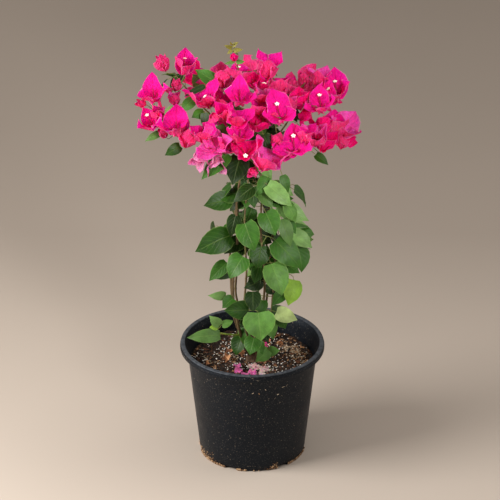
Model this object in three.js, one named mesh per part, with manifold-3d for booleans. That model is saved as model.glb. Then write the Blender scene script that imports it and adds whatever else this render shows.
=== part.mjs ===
// Bougainvillea bush in a round nursery pot: a short flared root crown, seven wiry stems that
// rise as a loose cage, boughs, leaf masses round the stems, and a flat wide crown of blossom.
// Millimetres, +Z up. The origin is the centre of the pot's flat underside. The front faces -Y.
import * as THREE from "three";
import { mergeVertices } from "three/addons/utils/BufferGeometryUtils.js";
import Module from "manifold-3d";

const wasm = await Module();
wasm.setup();

// ---------------------------------------------------------------- driving dimensions

const GAP = 0.36; // clear space between two pieces that touch

const POT = {
  baseRadius: 97.5,
  shoulderRadius: 121.8,
  rimRadius: 135,
  height: 225,
  shoulderHeight: 212,
  wall: 1.9,
  floor: 3,
  sides: 36,
};

const DRAIN = { count: 6, width: 20, height: 5, depth: 12, firstAngle: -114.3 };

const SOIL = { level: 186, swell: 3.2, rings: [112, 76, 44, 20] };

// the stump between the soil and the stems
const STUMP = { height: 26, topRadius: 9.6, footRadius: 9, flare: 7, lobes: 5, sides: 10, steps: 4 };

// the cage that the stems follow: its radius at each height
const CAGE = [
  { z: 198, radius: 6.4 },
  { z: 255, radius: 30 },
  { z: 310, radius: 41 },
  { z: 400, radius: 40 },
  { z: 480, radius: 36 },
  { z: 545, radius: 30 },
  { z: 605, radius: 25 },
  { z: 705, radius: 31 },
];

// each stem: its angle round the cage, its radius at foot and tip, and the height of its tip
const STEMS = [
  { angle: 0, foot: 2.3, tip: 1.3, top: 682 },
  { angle: 45, foot: 2.4, tip: 1.4, top: 694 },
  { angle: 136, foot: 2.5, tip: 1.4, top: 690 },
  { angle: 180, foot: 2.3, tip: 1.3, top: 684 },
  { angle: 215, foot: 3.1, tip: 1.7, top: 700 },
  { angle: 250, foot: 2.2, tip: 1.3, top: 686 },
  { angle: 301, foot: 2.5, tip: 1.4, top: 692 },
];
const STEM_SHAPE = { wander: 2.6, waves: 3, sides: 5, steps: 12 };

// each bough: the stem it grows from, the height of its fork and the mass it ends in
const BOUGHS = [
  { name: "bough_front", stem: 5, fork: 612, mass: "crown_front" },
  { name: "bough_front_left", stem: 4, fork: 606, mass: "crown_front_left" },
  { name: "bough_far_left", stem: 3, fork: 622, mass: "crown_far_left" },
  { name: "bough_upper_left", stem: 2, fork: 640, mass: "crown_upper_left" },
  { name: "bough_back_left", stem: 2, fork: 604, mass: "crown_back_left" },
  { name: "bough_back_right", stem: 1, fork: 608, mass: "crown_back_right" },
  { name: "bough_far_right", stem: 0, fork: 616, mass: "crown_far_right" },
  { name: "bough_right_front", stem: 6, fork: 624, mass: "crown_right_front" },
  { name: "bough_side_shoot", stem: 4, fork: 246, mass: "leaves_side_shoot" },
];
const BOUGH_SHAPE = { foot: 1.9, tip: 1.1, socket: 11, sides: 5, steps: 6, lift: 0.3 };

// each mass: its centre, its half width, half depth and half height, and its fineness
const BLOSSOM = { colour: "#e3187c", detail: 2, uneven: 0.13 };
const INNER_BLOSSOM = { colour: "#d01570", detail: 1, uneven: 0.13 };
const FOLIAGE = { colour: "#4a8440", detail: 1, uneven: 0.12 };
const MASSES = [
  { name: "crown_upper_left", at: [-143, 58, 757], half: [42, 36, 38], kind: BLOSSOM },
  { name: "crown_far_left", at: [-182, -5, 714], half: [36, 42, 48], kind: BLOSSOM },
  { name: "crown_left_front", at: [-131, -64, 698], half: [40, 40, 40], kind: BLOSSOM },
  { name: "crown_left_inner", at: [-82, -10, 742], half: [40, 42, 38], kind: INNER_BLOSSOM },
  { name: "crown_top_left", at: [-36, 30, 766], half: [38, 38, 36], kind: INNER_BLOSSOM },
  { name: "crown_top", at: [27, 22, 787], half: [38, 36, 46], kind: BLOSSOM },
  { name: "crown_top_front", at: [-20, -62, 748], half: [40, 48, 40], kind: BLOSSOM },
  { name: "crown_right_inner", at: [68, 0, 744], half: [40, 40, 40], kind: INNER_BLOSSOM },
  { name: "crown_upper_right", at: [106, 56, 750], half: [40, 38, 38], kind: BLOSSOM },
  { name: "crown_right_top", at: [152, 28, 733], half: [36, 38, 42], kind: BLOSSOM },
  { name: "crown_right_middle", at: [115, -34, 738], half: [36, 36, 36], kind: INNER_BLOSSOM },
  { name: "crown_front_top", at: [48, -74, 736], half: [40, 38, 42], kind: BLOSSOM },
  { name: "crown_right_front", at: [116, -78, 688], half: [38, 38, 36], kind: BLOSSOM },
  { name: "crown_far_right", at: [168, -22, 680], half: [40, 40, 38], kind: BLOSSOM },
  { name: "crown_front_right", at: [74, -114, 684], half: [38, 34, 36], kind: BLOSSOM },
  { name: "crown_front", at: [14, -136, 676], half: [44, 36, 38], kind: BLOSSOM },
  { name: "crown_front_left", at: [-74, -114, 694], half: [42, 40, 48], kind: BLOSSOM },
  { name: "crown_back_left", at: [-80, 110, 704], half: [54, 46, 44], kind: BLOSSOM },
  { name: "crown_back", at: [2, 128, 712], half: [44, 42, 44], kind: BLOSSOM },
  { name: "crown_back_right", at: [100, 108, 698], half: [54, 46, 44], kind: BLOSSOM },
  { name: "crown_top_shoot", at: [-27, 6, 822], half: [17, 15, 28], kind: FOLIAGE },
  { name: "crown_heart", at: [0, 5, 692], half: [58, 54, 40], kind: FOLIAGE },
  { name: "leaves_under_front", at: [-32, -72, 634], half: [42, 38, 36], kind: FOLIAGE },
  { name: "leaves_under_back", at: [14, 62, 628], half: [50, 42, 34], kind: FOLIAGE },
  { name: "leaves_neck_left", at: [-50, -26, 545], half: [44, 44, 48], kind: FOLIAGE },
  { name: "leaves_neck_right", at: [56, -22, 548], half: [52, 46, 50], kind: FOLIAGE },
  { name: "leaves_neck_back", at: [0, 54, 545], half: [58, 42, 48], kind: FOLIAGE },
  { name: "leaves_belt_left", at: [-58, -14, 455], half: [50, 50, 48], kind: FOLIAGE },
  { name: "leaves_belt_front", at: [4, -56, 456], half: [44, 40, 48], kind: FOLIAGE },
  { name: "leaves_belt_right", at: [62, -8, 452], half: [50, 52, 50], kind: FOLIAGE },
  { name: "leaves_belt_back", at: [0, 58, 455], half: [54, 42, 46], kind: FOLIAGE },
  { name: "leaves_waist_left", at: [-44, -18, 370], half: [42, 46, 42], kind: FOLIAGE },
  { name: "leaves_waist_front", at: [14, -50, 374], half: [42, 38, 42], kind: FOLIAGE },
  { name: "leaves_waist_back", at: [22, 44, 366], half: [60, 46, 44], kind: FOLIAGE },
  { name: "leaves_skirt_left", at: [-24, -34, 300], half: [34, 34, 34], kind: FOLIAGE },
  { name: "leaves_skirt_right", at: [38, -30, 286], half: [42, 38, 40], kind: FOLIAGE },
  { name: "leaves_foot", at: [20, -40, 222], half: [30, 26, 26], kind: FOLIAGE },
  { name: "leaves_side_shoot", at: [-84, -56, 284], half: [38, 24, 28], kind: FOLIAGE },
];

const COLOURS = { pot: "#1d1f21", soil: "#3a261b", root_crown: "#5c4030", stem: "#5a4431", bough: "#61562f" };

// ---------------------------------------------------------------- solids and meshes

// The Manifold solid of a closed three.js geometry.
function solidOf(geometry) {
  geometry.deleteAttribute("normal");
  geometry.deleteAttribute("uv");
  const merged = mergeVertices(geometry, 1e-4);
  const index = merged.index.array;
  const triangles = [];
  for (let i = 0; i < index.length; i += 3) {
    const [a, b, c] = [index[i], index[i + 1], index[i + 2]];
    if (a !== b && b !== c && c !== a) {
      triangles.push(a, b, c);
    }
  }
  const vertProperties = Float32Array.from(merged.attributes.position.array);
  return new wasm.Manifold(new wasm.Mesh({ numProp: 3, vertProperties, triVerts: Uint32Array.from(triangles) }));
}

// The largest separate body of a solid, so that a cut leaves no loose chips.
function largestOf(solid) {
  return solid.decompose().reduce((best, piece) => (piece.volume() > best.volume() ? piece : best));
}

function meshOf(name, solid, colour, roughness) {
  const cut = solid.getMesh();
  const corners = [];
  for (let i = 0; i < cut.vertProperties.length; i += cut.numProp) {
    corners.push(cut.vertProperties[i], cut.vertProperties[i + 1], cut.vertProperties[i + 2]);
  }
  const geometry = new THREE.BufferGeometry();
  geometry.setAttribute("position", new THREE.Float32BufferAttribute(corners, 3));
  geometry.setIndex(Array.from(cut.triVerts));
  geometry.computeVertexNormals();
  const mesh = new THREE.Mesh(geometry, new THREE.MeshStandardMaterial({ color: colour, roughness, metalness: 0 }));
  mesh.name = name;
  return mesh;
}

// A number from -1 to 1 that varies smoothly with direction, different for each seed.
function ripple(direction, seed) {
  const wave = (i, pitch) => {
    const turn = seed * 2.399 + i * 1.7;
    const axis = new THREE.Vector3(Math.cos(turn), Math.sin(turn * 1.3), Math.cos(turn * 0.7 + i)).normalize();
    return Math.sin(axis.dot(direction) * pitch + turn * 5.1);
  };
  return 0.45 * wave(0, 3.1) + 0.35 * wave(1, 4.7) + 0.2 * wave(2, 7.3);
}

// A tapering limb: a cylinder whose rings are carried along a path.
function limb(path, radiusAt, sides, steps) {
  const geometry = new THREE.CylinderGeometry(1, 1, 1, sides, steps);
  const frames = path.computeFrenetFrames(steps, false);
  const corners = geometry.attributes.position;
  for (let i = 0; i < corners.count; i += 1) {
    const ring = Math.round((corners.getY(i) + 0.5) * steps);
    const along = ring / steps;
    const radius = radiusAt(along);
    const corner = path.getPointAt(along);
    corner.addScaledVector(frames.normals[ring], corners.getX(i) * radius);
    corner.addScaledVector(frames.binormals[ring], -corners.getZ(i) * radius);
    corners.setXYZ(i, corner.x, corner.y, corner.z);
  }
  return solidOf(geometry);
}

// ---------------------------------------------------------------- pot and soil

// A turned shape from [radius, height] points that run up the outside and end on the axis.
function turned(points, sides) {
  const geometry = new THREE.LatheGeometry(points.map(([r, z]) => new THREE.Vector2(r, z)), sides);
  return geometry.rotateX(Math.PI / 2);
}

function innerWallRadius(z) {
  const slope = (POT.shoulderRadius - POT.baseRadius) / POT.shoulderHeight;
  return POT.baseRadius + slope * z - POT.wall;
}

// Thin wall, flat floor and a rolled lip that is open underneath, with drain notches round the foot.
function potSolid() {
  const { baseRadius, shoulderRadius, rimRadius, height, shoulderHeight, wall, floor, sides } = POT;
  const lipFoot = height - 11.4;
  const profile = [
    [0, 0],
    [baseRadius - 1.5, 0],
    [baseRadius, 1.6],
    [shoulderRadius, shoulderHeight],
    [rimRadius - 9.5, height - 2.8],
    [rimRadius - 2.4, height - 2.8],
    [rimRadius - 2, lipFoot],
    [rimRadius, lipFoot],
    [rimRadius - 0.4, height - 2.2],
    [rimRadius - 3, height],
    [rimRadius - 7, height - 0.3],
    [rimRadius - 11, height - 4.6],
    [innerWallRadius(shoulderHeight), shoulderHeight - 0.4],
    [innerWallRadius(floor), floor],
    [0, floor],
  ];
  let pot = solidOf(turned(profile, sides));
  for (let i = 0; i < DRAIN.count; i += 1) {
    const angle = THREE.MathUtils.degToRad(DRAIN.firstAngle + (i * 360) / DRAIN.count);
    const notch = new THREE.BoxGeometry(DRAIN.depth, DRAIN.width, DRAIN.height * 2);
    notch.translate(baseRadius, 0, 0);
    notch.rotateZ(angle);
    pot = pot.subtract(solidOf(notch));
  }
  return pot;
}

function soilHeight(x, y) {
  const rise = Math.sin(x / 31 + 0.6) * Math.cos(y / 26 - 0.9) + 0.6 * Math.sin((x - y) / 17);
  const flatAroundStump = THREE.MathUtils.smoothstep(Math.hypot(x, y), SOIL.rings.at(-1) + 1, SOIL.rings[1]);
  return SOIL.level + SOIL.swell * rise * flatAroundStump;
}

// The potting mix fills the pot to a hand's width below the rim, with an uneven top.
function soilSolid() {
  const foot = POT.floor + GAP;
  const profile = [[0, foot], [innerWallRadius(foot) - GAP, foot], [innerWallRadius(SOIL.level) - GAP, SOIL.level]];
  SOIL.rings.forEach((radius) => profile.push([radius, SOIL.level]));
  profile.push([0, SOIL.level]);
  const geometry = turned(profile, POT.sides);
  const corners = geometry.attributes.position;
  for (let i = 0; i < corners.count; i += 1) {
    const [x, y] = [corners.getX(i), corners.getY(i)];
    if (corners.getZ(i) > SOIL.level - 1 && Math.hypot(x, y) < SOIL.rings[0] + 1) {
      corners.setZ(i, soilHeight(x, y));
    }
  }
  return solidOf(geometry);
}

// ---------------------------------------------------------------- limbs

function cageRadius(z) {
  const upper = CAGE.findIndex((ring) => ring.z >= z);
  const [low, high] = [CAGE[Math.max(0, upper - 1)], CAGE[Math.max(1, upper)]];
  return THREE.MathUtils.mapLinear(z, low.z, high.z, low.radius, high.radius);
}

// Where stem number k is at height z. The feet are spread evenly round the stump.
function stemPoint(k, z) {
  const foot = CAGE[0].z;
  const settle = THREE.MathUtils.smoothstep(z, foot, CAGE[2].z);
  const degrees = THREE.MathUtils.lerp((k * 360) / STEMS.length, STEMS[k].angle, settle);
  const angle = THREE.MathUtils.degToRad(degrees);
  const phase = ((z - foot) / (CAGE.at(-1).z - foot)) * Math.PI * 2 * STEM_SHAPE.waves;
  const wander = STEM_SHAPE.wander * settle;
  const radius = cageRadius(z) + wander * Math.sin(phase + k * 2.1);
  const sideways = wander * Math.cos(phase * 0.8 + k * 1.3);
  return new THREE.Vector3(
    radius * Math.cos(angle) - sideways * Math.sin(angle),
    radius * Math.sin(angle) + sideways * Math.cos(angle),
    z,
  );
}

function stemSolid(k, clearance) {
  const { foot, tip, top } = STEMS[k];
  const base = CAGE[0].z - clearance;
  const heights = Array.from({ length: 12 }, (unused, i) => THREE.MathUtils.lerp(base, top + clearance, i / 11));
  const path = new THREE.CatmullRomCurve3(heights.map((z) => stemPoint(k, z)));
  const radiusAt = (along) => THREE.MathUtils.lerp(foot, tip, along) + clearance;
  return limb(path, radiusAt, STEM_SHAPE.sides, STEM_SHAPE.steps);
}

// The stump stands on the soil by a flat cut, flares into root lobes and swells where the stems leave it.
function stumpSolid() {
  const base = SOIL.level + GAP;
  const geometry = new THREE.CylinderGeometry(1, 1, 1, STUMP.sides, STUMP.steps);
  const corners = geometry.attributes.position;
  for (let i = 0; i < corners.count; i += 1) {
    const along = corners.getY(i) + 0.5;
    const [x, y] = [corners.getX(i), -corners.getZ(i)];
    const lobe = 0.75 + 0.25 * Math.cos(STUMP.lobes * Math.atan2(y, x));
    const flare = STUMP.flare * lobe * (1 - along) ** 3;
    const radius = THREE.MathUtils.lerp(STUMP.footRadius, STUMP.topRadius, along) + flare;
    corners.setXYZ(i, x * radius, y * radius, base + along * STUMP.height);
  }
  return solidOf(geometry);
}

function boughSolid(bough, clearance) {
  const { foot, tip, socket, sides, steps, lift } = BOUGH_SHAPE;
  const start = stemPoint(bough.stem, bough.fork);
  const mass = MASSES.find((item) => item.name === bough.mass);
  const centre = new THREE.Vector3(...mass.at);
  const knee = start.clone().lerp(centre, 0.5);
  knee.z = THREE.MathUtils.lerp(start.z, centre.z, lift);
  const inward = knee.clone().sub(centre).normalize();
  const end = centre.clone().addScaledVector(inward, reach(mass, inward) - socket - clearance);
  const path = new THREE.QuadraticBezierCurve3(start, knee, end);
  return limb(path, (along) => THREE.MathUtils.lerp(foot, tip, along) + clearance, sides, steps);
}

// ---------------------------------------------------------------- masses of blossom and foliage

function ellipsoidReach([a, b, c], direction) {
  return 1 / Math.hypot(direction.x / a, direction.y / b, direction.z / c);
}

// How far a mass reaches from its centre in a direction: an uneven ellipsoid that stops at the
// middle plane between it and each neighbour, and above the soil.
function reach(mass, direction) {
  const centre = new THREE.Vector3(...mass.at);
  const seed = MASSES.indexOf(mass) + 1;
  let length = ellipsoidReach(mass.half, direction) * (1 + mass.kind.uneven * ripple(direction, seed));
  for (const other of MASSES) {
    if (other === mass) {
      continue;
    }
    const apart = new THREE.Vector3(...other.at).sub(centre);
    const distance = apart.length();
    const axis = apart.divideScalar(distance);
    const towards = direction.dot(axis);
    const own = ellipsoidReach(mass.half, axis);
    const theirs = ellipsoidReach(other.half, axis);
    const plane = (distance * own) / (own + theirs) - GAP / 2;
    if (towards > 0 && length * towards > plane) {
      length = plane / towards;
    }
  }
  const drop = centre.z - (SOIL.level + SOIL.swell * 2);
  if (direction.z < 0 && -direction.z * length > drop) {
    length = -drop / direction.z;
  }
  return length;
}

function massSolid(mass) {
  const geometry = new THREE.IcosahedronGeometry(1, mass.kind.detail);
  const corners = geometry.attributes.position;
  for (let i = 0; i < corners.count; i += 1) {
    const direction = new THREE.Vector3().fromBufferAttribute(corners, i).normalize();
    const corner = direction.clone().multiplyScalar(reach(mass, direction)).add(new THREE.Vector3(...mass.at));
    corners.setXYZ(i, corner.x, corner.y, corner.z);
  }
  return solidOf(geometry);
}

// ---------------------------------------------------------------- assembly

const plant = new THREE.Group();
const limbSpaces = []; // the room that each stem and bough takes up, which other pieces are cut round

plant.add(meshOf("pot", potSolid(), COLOURS.pot, 0.55));
plant.add(meshOf("soil", soilSolid(), COLOURS.soil, 0.95));

STEMS.forEach((stem, k) => {
  plant.add(meshOf(`stem_${k + 1}`, stemSolid(k, 0), COLOURS.stem, 0.8));
  limbSpaces.push(stemSolid(k, GAP));
});

const stump = limbSpaces.reduce((solid, space) => solid.subtract(space), stumpSolid());
plant.add(meshOf("root_crown", largestOf(stump), COLOURS.root_crown, 0.85));

BOUGHS.forEach((bough) => {
  const whole = limbSpaces.reduce((solid, space) => solid.subtract(space), boughSolid(bough, 0));
  plant.add(meshOf(bough.name, largestOf(whole), COLOURS.bough, 0.8));
  limbSpaces.push(boughSolid(bough, GAP));
});

MASSES.forEach((mass) => {
  const cut = limbSpaces.reduce((solid, space) => solid.subtract(space), massSolid(mass));
  plant.add(meshOf(mass.name, largestOf(cut), mass.kind.colour, 0.7));
});

export default plant;
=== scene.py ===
"""A bougainvillea bush in a nursery pot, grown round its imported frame.

The pot, the potting mix, the canes and the boughs are modelled over their solids. Each mass of
foliage or blossom is replaced by twigs, leaves and bracts that grow on from the limbs by a seeded
rule. Everything is in metres, +Z up, with the front of the plant towards -Y.
"""

import math

import bmesh
import bpy
import numpy as np
from bpy.props import FloatProperty, IntProperty, PointerProperty, StringProperty
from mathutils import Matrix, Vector, noise


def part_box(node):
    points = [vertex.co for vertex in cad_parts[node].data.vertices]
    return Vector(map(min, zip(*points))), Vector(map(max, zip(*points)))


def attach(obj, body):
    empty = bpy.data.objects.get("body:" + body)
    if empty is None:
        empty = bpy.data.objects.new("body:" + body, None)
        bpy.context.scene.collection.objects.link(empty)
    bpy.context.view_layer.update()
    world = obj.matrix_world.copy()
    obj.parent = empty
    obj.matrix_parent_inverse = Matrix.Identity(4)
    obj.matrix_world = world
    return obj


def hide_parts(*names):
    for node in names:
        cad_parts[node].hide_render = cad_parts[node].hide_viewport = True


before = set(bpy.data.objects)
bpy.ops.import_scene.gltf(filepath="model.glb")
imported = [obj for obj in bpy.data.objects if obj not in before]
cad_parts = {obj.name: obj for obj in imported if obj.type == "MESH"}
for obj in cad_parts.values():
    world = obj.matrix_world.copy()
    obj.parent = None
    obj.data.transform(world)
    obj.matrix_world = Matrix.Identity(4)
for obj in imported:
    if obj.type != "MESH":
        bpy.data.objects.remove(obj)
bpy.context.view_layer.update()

bl_info = {
    "name": "Bougainvillea bush",
    "version": (1, 0, 0),
    "blender": (4, 5, 0),
    "location": "3D View > Sidebar > Bush",
    "description": "Builds a potted bougainvillea bush round its packed frame",
    "category": "Add Mesh",
}

MM = 0.001
POT_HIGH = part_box("pot")[1]
SOIL_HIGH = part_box("soil")[1]
STUMP_LOW, STUMP_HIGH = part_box("root_crown")

# The pot's outer radius at its foot and at its shoulder, and the shoulder's height, under the lip.
FOOT_RADIUS = POT_HIGH.x - 37.5 * MM
SHOULDER_RADIUS = POT_HIGH.x - 13.2 * MM
SHOULDER_HEIGHT = POT_HIGH.z - 13 * MM
# The usual height of the mix; its solid's top is the highest of its swells.
MIX_LEVEL = SOIL_HIGH.z - 4.2 * MM
# The drain notches round the foot, and where the first one is.
NOTCHES = 6
FIRST_NOTCH = math.radians(-114.3)

STEM_NODES = sorted(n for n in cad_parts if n.startswith("stem_"))
BOUGH_NODES = sorted(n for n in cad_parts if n.startswith("bough_"))
HEAD_NODES = sorted(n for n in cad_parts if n.startswith("crown_"))
LEAFY_HEAD_NODES = ("crown_heart", "crown_top_shoot")
COLUMN_NODES = sorted(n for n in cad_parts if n.startswith("leaves_"))

# The leaves that face the front: foot, tip, width (mm) and shade.
FRONT_LEAVES = (
    ((-40, -25, 540), (-90, -38, 532), 38, "deep"),
    ((-41, -28, 465), (-106, -46, 440), 51, "deep"),
    ((-14, -64, 509), (5, -88, 464), 45, "mid"),
    ((-30, -20, 504), (-40, -36, 466), 28, "shade"),
    ((25, -58, 528), (42, -80, 492), 43, "mid"),
    ((55, -44, 508), (71, -66, 460), 27, "grey"),
    ((42, -58, 471), (89, -76, 421), 50, "mid"),
    ((35, -70, 428), (55, -97, 375), 50, "fresh"),
    ((-17, -70, 443), (-42, -88, 406), 44, "mid"),
    ((16, -55, 456), (8, -73, 419), 41, "deep"),
    ((-47, -25, 406), (-80, -40, 375), 28, "mid"),
    ((-36, -12, 382), (-74, -26, 372), 22, "shade"),
    ((12, -45, 406), (3, -61, 382), 26, "deep"),
    ((18, -36, 374), (-16, -56, 369), 30, "shade"),
    ((77, -24, 369), (66, -48, 327), 37, "yellow"),
    ((60, -26, 346), (36, -42, 324), 24, "mid"),
    ((-49, -30, 339), (-83, -44, 347), 18, "pale"),
    ((-36, -36, 336), (-56, -50, 323), 26, "mid"),
    ((-7, -62, 326), (-53, -72, 331), 37, "deep"),
    ((1, -50, 358), (1, -71, 326), 32, "shade"),
    ((18, -50, 340), (11, -66, 316), 26, "mid"),
    ((11, -76, 328), (16, -101, 282), 62, "fresh"),
    ((45, -44, 312), (84, -52, 299), 30, "cream"),
    ((3, -58, 264), (-5, -76, 238), 33, "mid"),
    ((-20, -2, 232), (-31, -16, 203), 32, "deep"),
    ((30, -46, 232), (6, -62, 216), 27, "fresh"),
    ((28, -40, 226), (52, -46, 231), 20, "fresh"),
    ((10, -40, 246), (20, -56, 228), 22, "mid"),
    ((-60, -60, 272), (-122, -62, 267), 27, "grey"),
    ((-60, -60, 293), (-80, -61, 314), 20, "pale"),
    ((-56, -58, 292), (-35, -56, 300), 15, "fresh"),
    ((-64, -60, 288), (-80, -62, 289), 12, "yellow"),
    ((47, -20, 526), (105, -32, 497), 36, "pale"),
    ((28, -44, 579), (73, -61, 543), 33, "pale"),
    ((55, -30, 592), (66, -41, 560), 20, "mid"),
    ((16, -40, 562), (37, -56, 536), 26, "grey"),
    ((73, -24, 465), (111, -32, 440), 33, "pale"),
    ((64, -20, 496), (80, -32, 470), 20, "mid"),
    ((84, -14, 426), (98, -22, 404), 18, "deep"),
    ((58, -38, 412), (88, -52, 398), 26, "mid"),
    ((2, -44, 575), (-35, -60, 551), 30, "shade"),
    ((-44, -108, 677), (-93, -136, 638), 33, "mid"),
    ((-22, -100, 666), (-36, -127, 622), 45, "shade"),
    ((-8, -90, 652), (-12, -106, 619), 30, "shade"),
    ((116, -75, 658), (139, -86, 642), 18, "deep"),
    ((-132, -75, 676), (-160, -86, 662), 22, "deep"),
    ((-167, -30, 681), (-197, -37, 665), 15, "grey"),
    ((-66, 20, 757), (-105, 38, 775), 27, "mid"),
    ((-86, -2, 762), (-125, -6, 741), 14, "shade"),
    ((-108, -16, 741), (-130, -26, 721), 24, "mid"),
    ((-143, -28, 730), (-161, -38, 713), 20, "pale"),
    ((-88, -45, 731), (-111, -56, 724), 22, "mid"),
    ((-88, -60, 736), (-80, -75, 705), 20, "shade"),
    ((-60, -70, 716), (-45, -84, 690), 22, "grey"),
    ((50, -92, 704), (70, -104, 700), 26, "deep"),
    ((20, -100, 712), (34, -116, 690), 26, "shade"),
    ((86, -66, 712), (98, -76, 690), 20, "mid"),
    ((28, -30, 588), (10, -50, 560), 26, "mid"),
    ((14, -66, 640), (36, -82, 612), 26, "fresh"),
    ((-37, 5, 836), (-52, 2, 843), 8, "bronze"),
    ((-36, 5, 840), (-25, 2, 849), 8, "bronze"),
    ((-35, 5, 830), (-17, 2, 834), 9, "bronze"),
    ((-37, 5, 832), (-46, 1, 825), 7, "bronze"),
    ((-36, 5, 842), (-40, 0, 852), 6, "bronze"),
    ((-33, 5, 808), (-52, 0, 805), 6, "fresh"),
    ((-30, 5, 807), (-13, 0, 811), 9, "fresh"),
)

# The blooms that face the front: centre, length of a bract (mm), opening from 0 to 1, shade, the
# number of true flowers that are out, lean to the right of upright (degrees), how far it is turned
# to the front from 0 to 1, and the place round its stalk of the first bract (0 is the front).
FRONT_BLOOMS = (
    ((-164, 55, 779), 40, 0.10, "coral", 1, -20, 0.30, 0),
    ((-124, 55, 775), 48, 0.36, "magenta", 1, 5, 0.28, 180),
    ((-140, 30, 746), 27, 0.12, "coral", 0, 10, 0.30, 0),
    ((-153, 25, 739), 16, 0.05, "coral", 1, -15, 0.30, 0),
    ((-182, -5, 745), 50, 0.55, "magenta", 0, -10, 0.52, 180),
    ((-203, -5, 727), 22, 0.10, "coral", 0, -75, 0.30, 0),
    ((-186, -26, 699), 44, 0.60, "magenta", 1, -30, 0.50, 180),
    ((-172, -20, 713), 32, 0.30, "magenta", 0, 0, 0.30, 0),
    ((-140, -70, 711), 54, 0.55, "magenta", 0, -5, 0.50, 180),
    ((-119, -85, 695), 42, 0.25, "coral", 0, 10, 0.25, 0),
    ((-162, -45, 686), 23, 0.15, "coral", 0, -30, 0.30, 0),
    ((-84, -25, 747), 56, 0.52, "magenta", 1, -15, 0.36, 0),
    ((-56, 15, 766), 40, 0.20, "coral", 0, 0, 0.20, 0),
    ((-23, 10, 779), 46, 0.50, "magenta", 2, 0, 0.35, 180),
    ((27, 15, 790), 56, 0.36, "magenta", 0, 4, 0.22, 0),
    ((-23, -46, 763), 56, 0.60, "magenta", 0, 0, 0.50, 180),
    ((2, 0, 768), 36, 0.40, "crimson", 0, -20, 0.40, 180),
    ((22, -10, 768), 22, 0.30, "crimson", 1, 0, 0.30, 0),
    ((48, 5, 754), 46, 0.36, "magenta", 0, 5, 0.30, 0),
    ((94, 50, 748), 32, 0.10, "coral", 0, 0, 0.20, 0),
    ((74, 55, 740), 24, 0.20, "magenta", 0, -10, 0.20, 0),
    ((122, 45, 752), 46, 0.35, "rose", 0, 0, 0.20, 0),
    ((153, 25, 738), 56, 0.50, "magenta", 2, -10, 0.42, 180),
    ((83, -20, 740), 46, 0.45, "crimson", 0, 0, 0.40, 180),
    ((123, -35, 740), 52, 0.60, "magenta", 1, -10, 0.50, 180),
    ((98, -45, 722), 36, 0.30, "crimson", 0, 170, 0.30, 0),
    ((66, -40, 742), 38, 0.30, "rose", 0, 10, 0.25, 0),
    ((50, -80, 745), 54, 0.66, "magenta", 1, -10, 0.60, 180),
    ((13, -60, 744), 48, 0.50, "magenta", 0, 0, 0.38, 0),
    ((7, -84, 725), 42, 0.40, "crimson", 0, 20, 0.40, 180),
    ((-28, -90, 738), 46, 0.45, "magenta", 0, 10, 0.40, 0),
    ((-50, -70, 738), 44, 0.40, "magenta", 0, -10, 0.35, 0),
    ((-69, -115, 702), 56, 0.72, "rose", 0, -20, 0.58, 180),
    ((-48, -112, 694), 40, 0.50, "rose", 0, 40, 0.50, 60),
    ((-23, -110, 717), 48, 0.50, "magenta", 0, 10, 0.48, 180),
    ((-12, -126, 690), 44, 0.70, "crimson", 1, 0, 0.68, 0),
    ((24, -138, 678), 64, 0.60, "rose", 0, 25, 0.42, 0),
    ((2, -130, 652), 22, 0.20, "coral", 0, 195, 0.30, 0),
    ((43, -110, 702), 32, 0.15, "coral", 0, 0, 0.30, 0),
    ((76, -120, 697), 54, 0.75, "magenta", 1, -5, 0.62, 180),
    ((94, -100, 709), 46, 0.40, "magenta", 0, 8, 0.30, 0),
    ((113, -92, 700), 46, 0.50, "rose", 0, 0, 0.40, 0),
    ((129, -80, 687), 52, 0.40, "crimson", 0, 10, 0.35, 0),
    ((128, -70, 716), 38, 0.05, "crimson", 0, 42, 0.10, 0),
    ((166, -26, 686), 58, 0.58, "rose", 0, 32, 0.36, 180),
    ((149, -36, 693), 50, 0.45, "magenta", 0, 5, 0.30, 180),
    ((163, -45, 668), 34, 0.15, "coral", 0, 0, 0.40, 0),
    ((-69, -70, 727), 36, 0.35, "magenta", 0, 160, 0.35, 0),
    ((-95, -122, 674), 40, 0.45, "faded", 0, 215, 0.35, 0),
    ((-66, -126, 668), 40, 0.40, "faded", 0, 170, 0.30, 0),
    ((-142, 0, 733), 30, 0.30, "rose", 0, 0, 0.30, 0),
    ((-34, 2, 818), 18, 0.02, "crimson", 0, -8, 0.20, 0),
    ((18, -35, 755), 46, 0.45, "rose", 0, 10, 0.35, 0),
    ((88, 10, 731), 46, 0.35, "coral", 0, 0, 0.30, 0),
    ((135, 0, 737), 48, 0.45, "magenta", 0, 10, 0.35, 180),
    ((-52, -22, 737), 46, 0.45, "magenta", 0, 5, 0.35, 0),
    ((30, -60, 727), 42, 0.40, "magenta", 0, -20, 0.40, 0),
    ((-90, -95, 708), 44, 0.45, "magenta", 0, -10, 0.40, 0),
    ((58, -118, 684), 46, 0.50, "magenta", 0, 20, 0.45, 60),
    ((29, -52, 431), 11, 0.02, "crimson", 0, 60, 0.30, 0),
)

# Tones of the leaves. shade is a painted shade: a darker copy of the green for leaves in shadow. fresh, pale
# and grey are partly the leaves' own tones and partly painted sheen, lightened and greyed for lit, glossy
# leaves.
LEAF_SHADES = {
    "deep": "#234A0B",
    "mid": "#38681E",
    "fresh": "#5D8D3D",
    "shade": "#143002",
    "grey": "#527838",
    "pale": "#79A45A",
    "yellow": "#86B03A",
    "cream": "#B5CB85",
    "bronze": "#857D33",
}
BRACT_SHADES = {
    "magenta": "#FF1490",
    "rose": "#FF4AAB",
    "crimson": "#FC0A6E",
    "coral": "#FF367C",
    "faded": "#F78CBC",
}

# The outer side of a bract is painted redder than its face: a painted glow of light shining through the thin
# bract.
BRACT_BACK_GLOW = {"magenta": "coral", "rose": "coral", "crimson": "crimson", "coral": "coral", "faded": "faded"}

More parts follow.
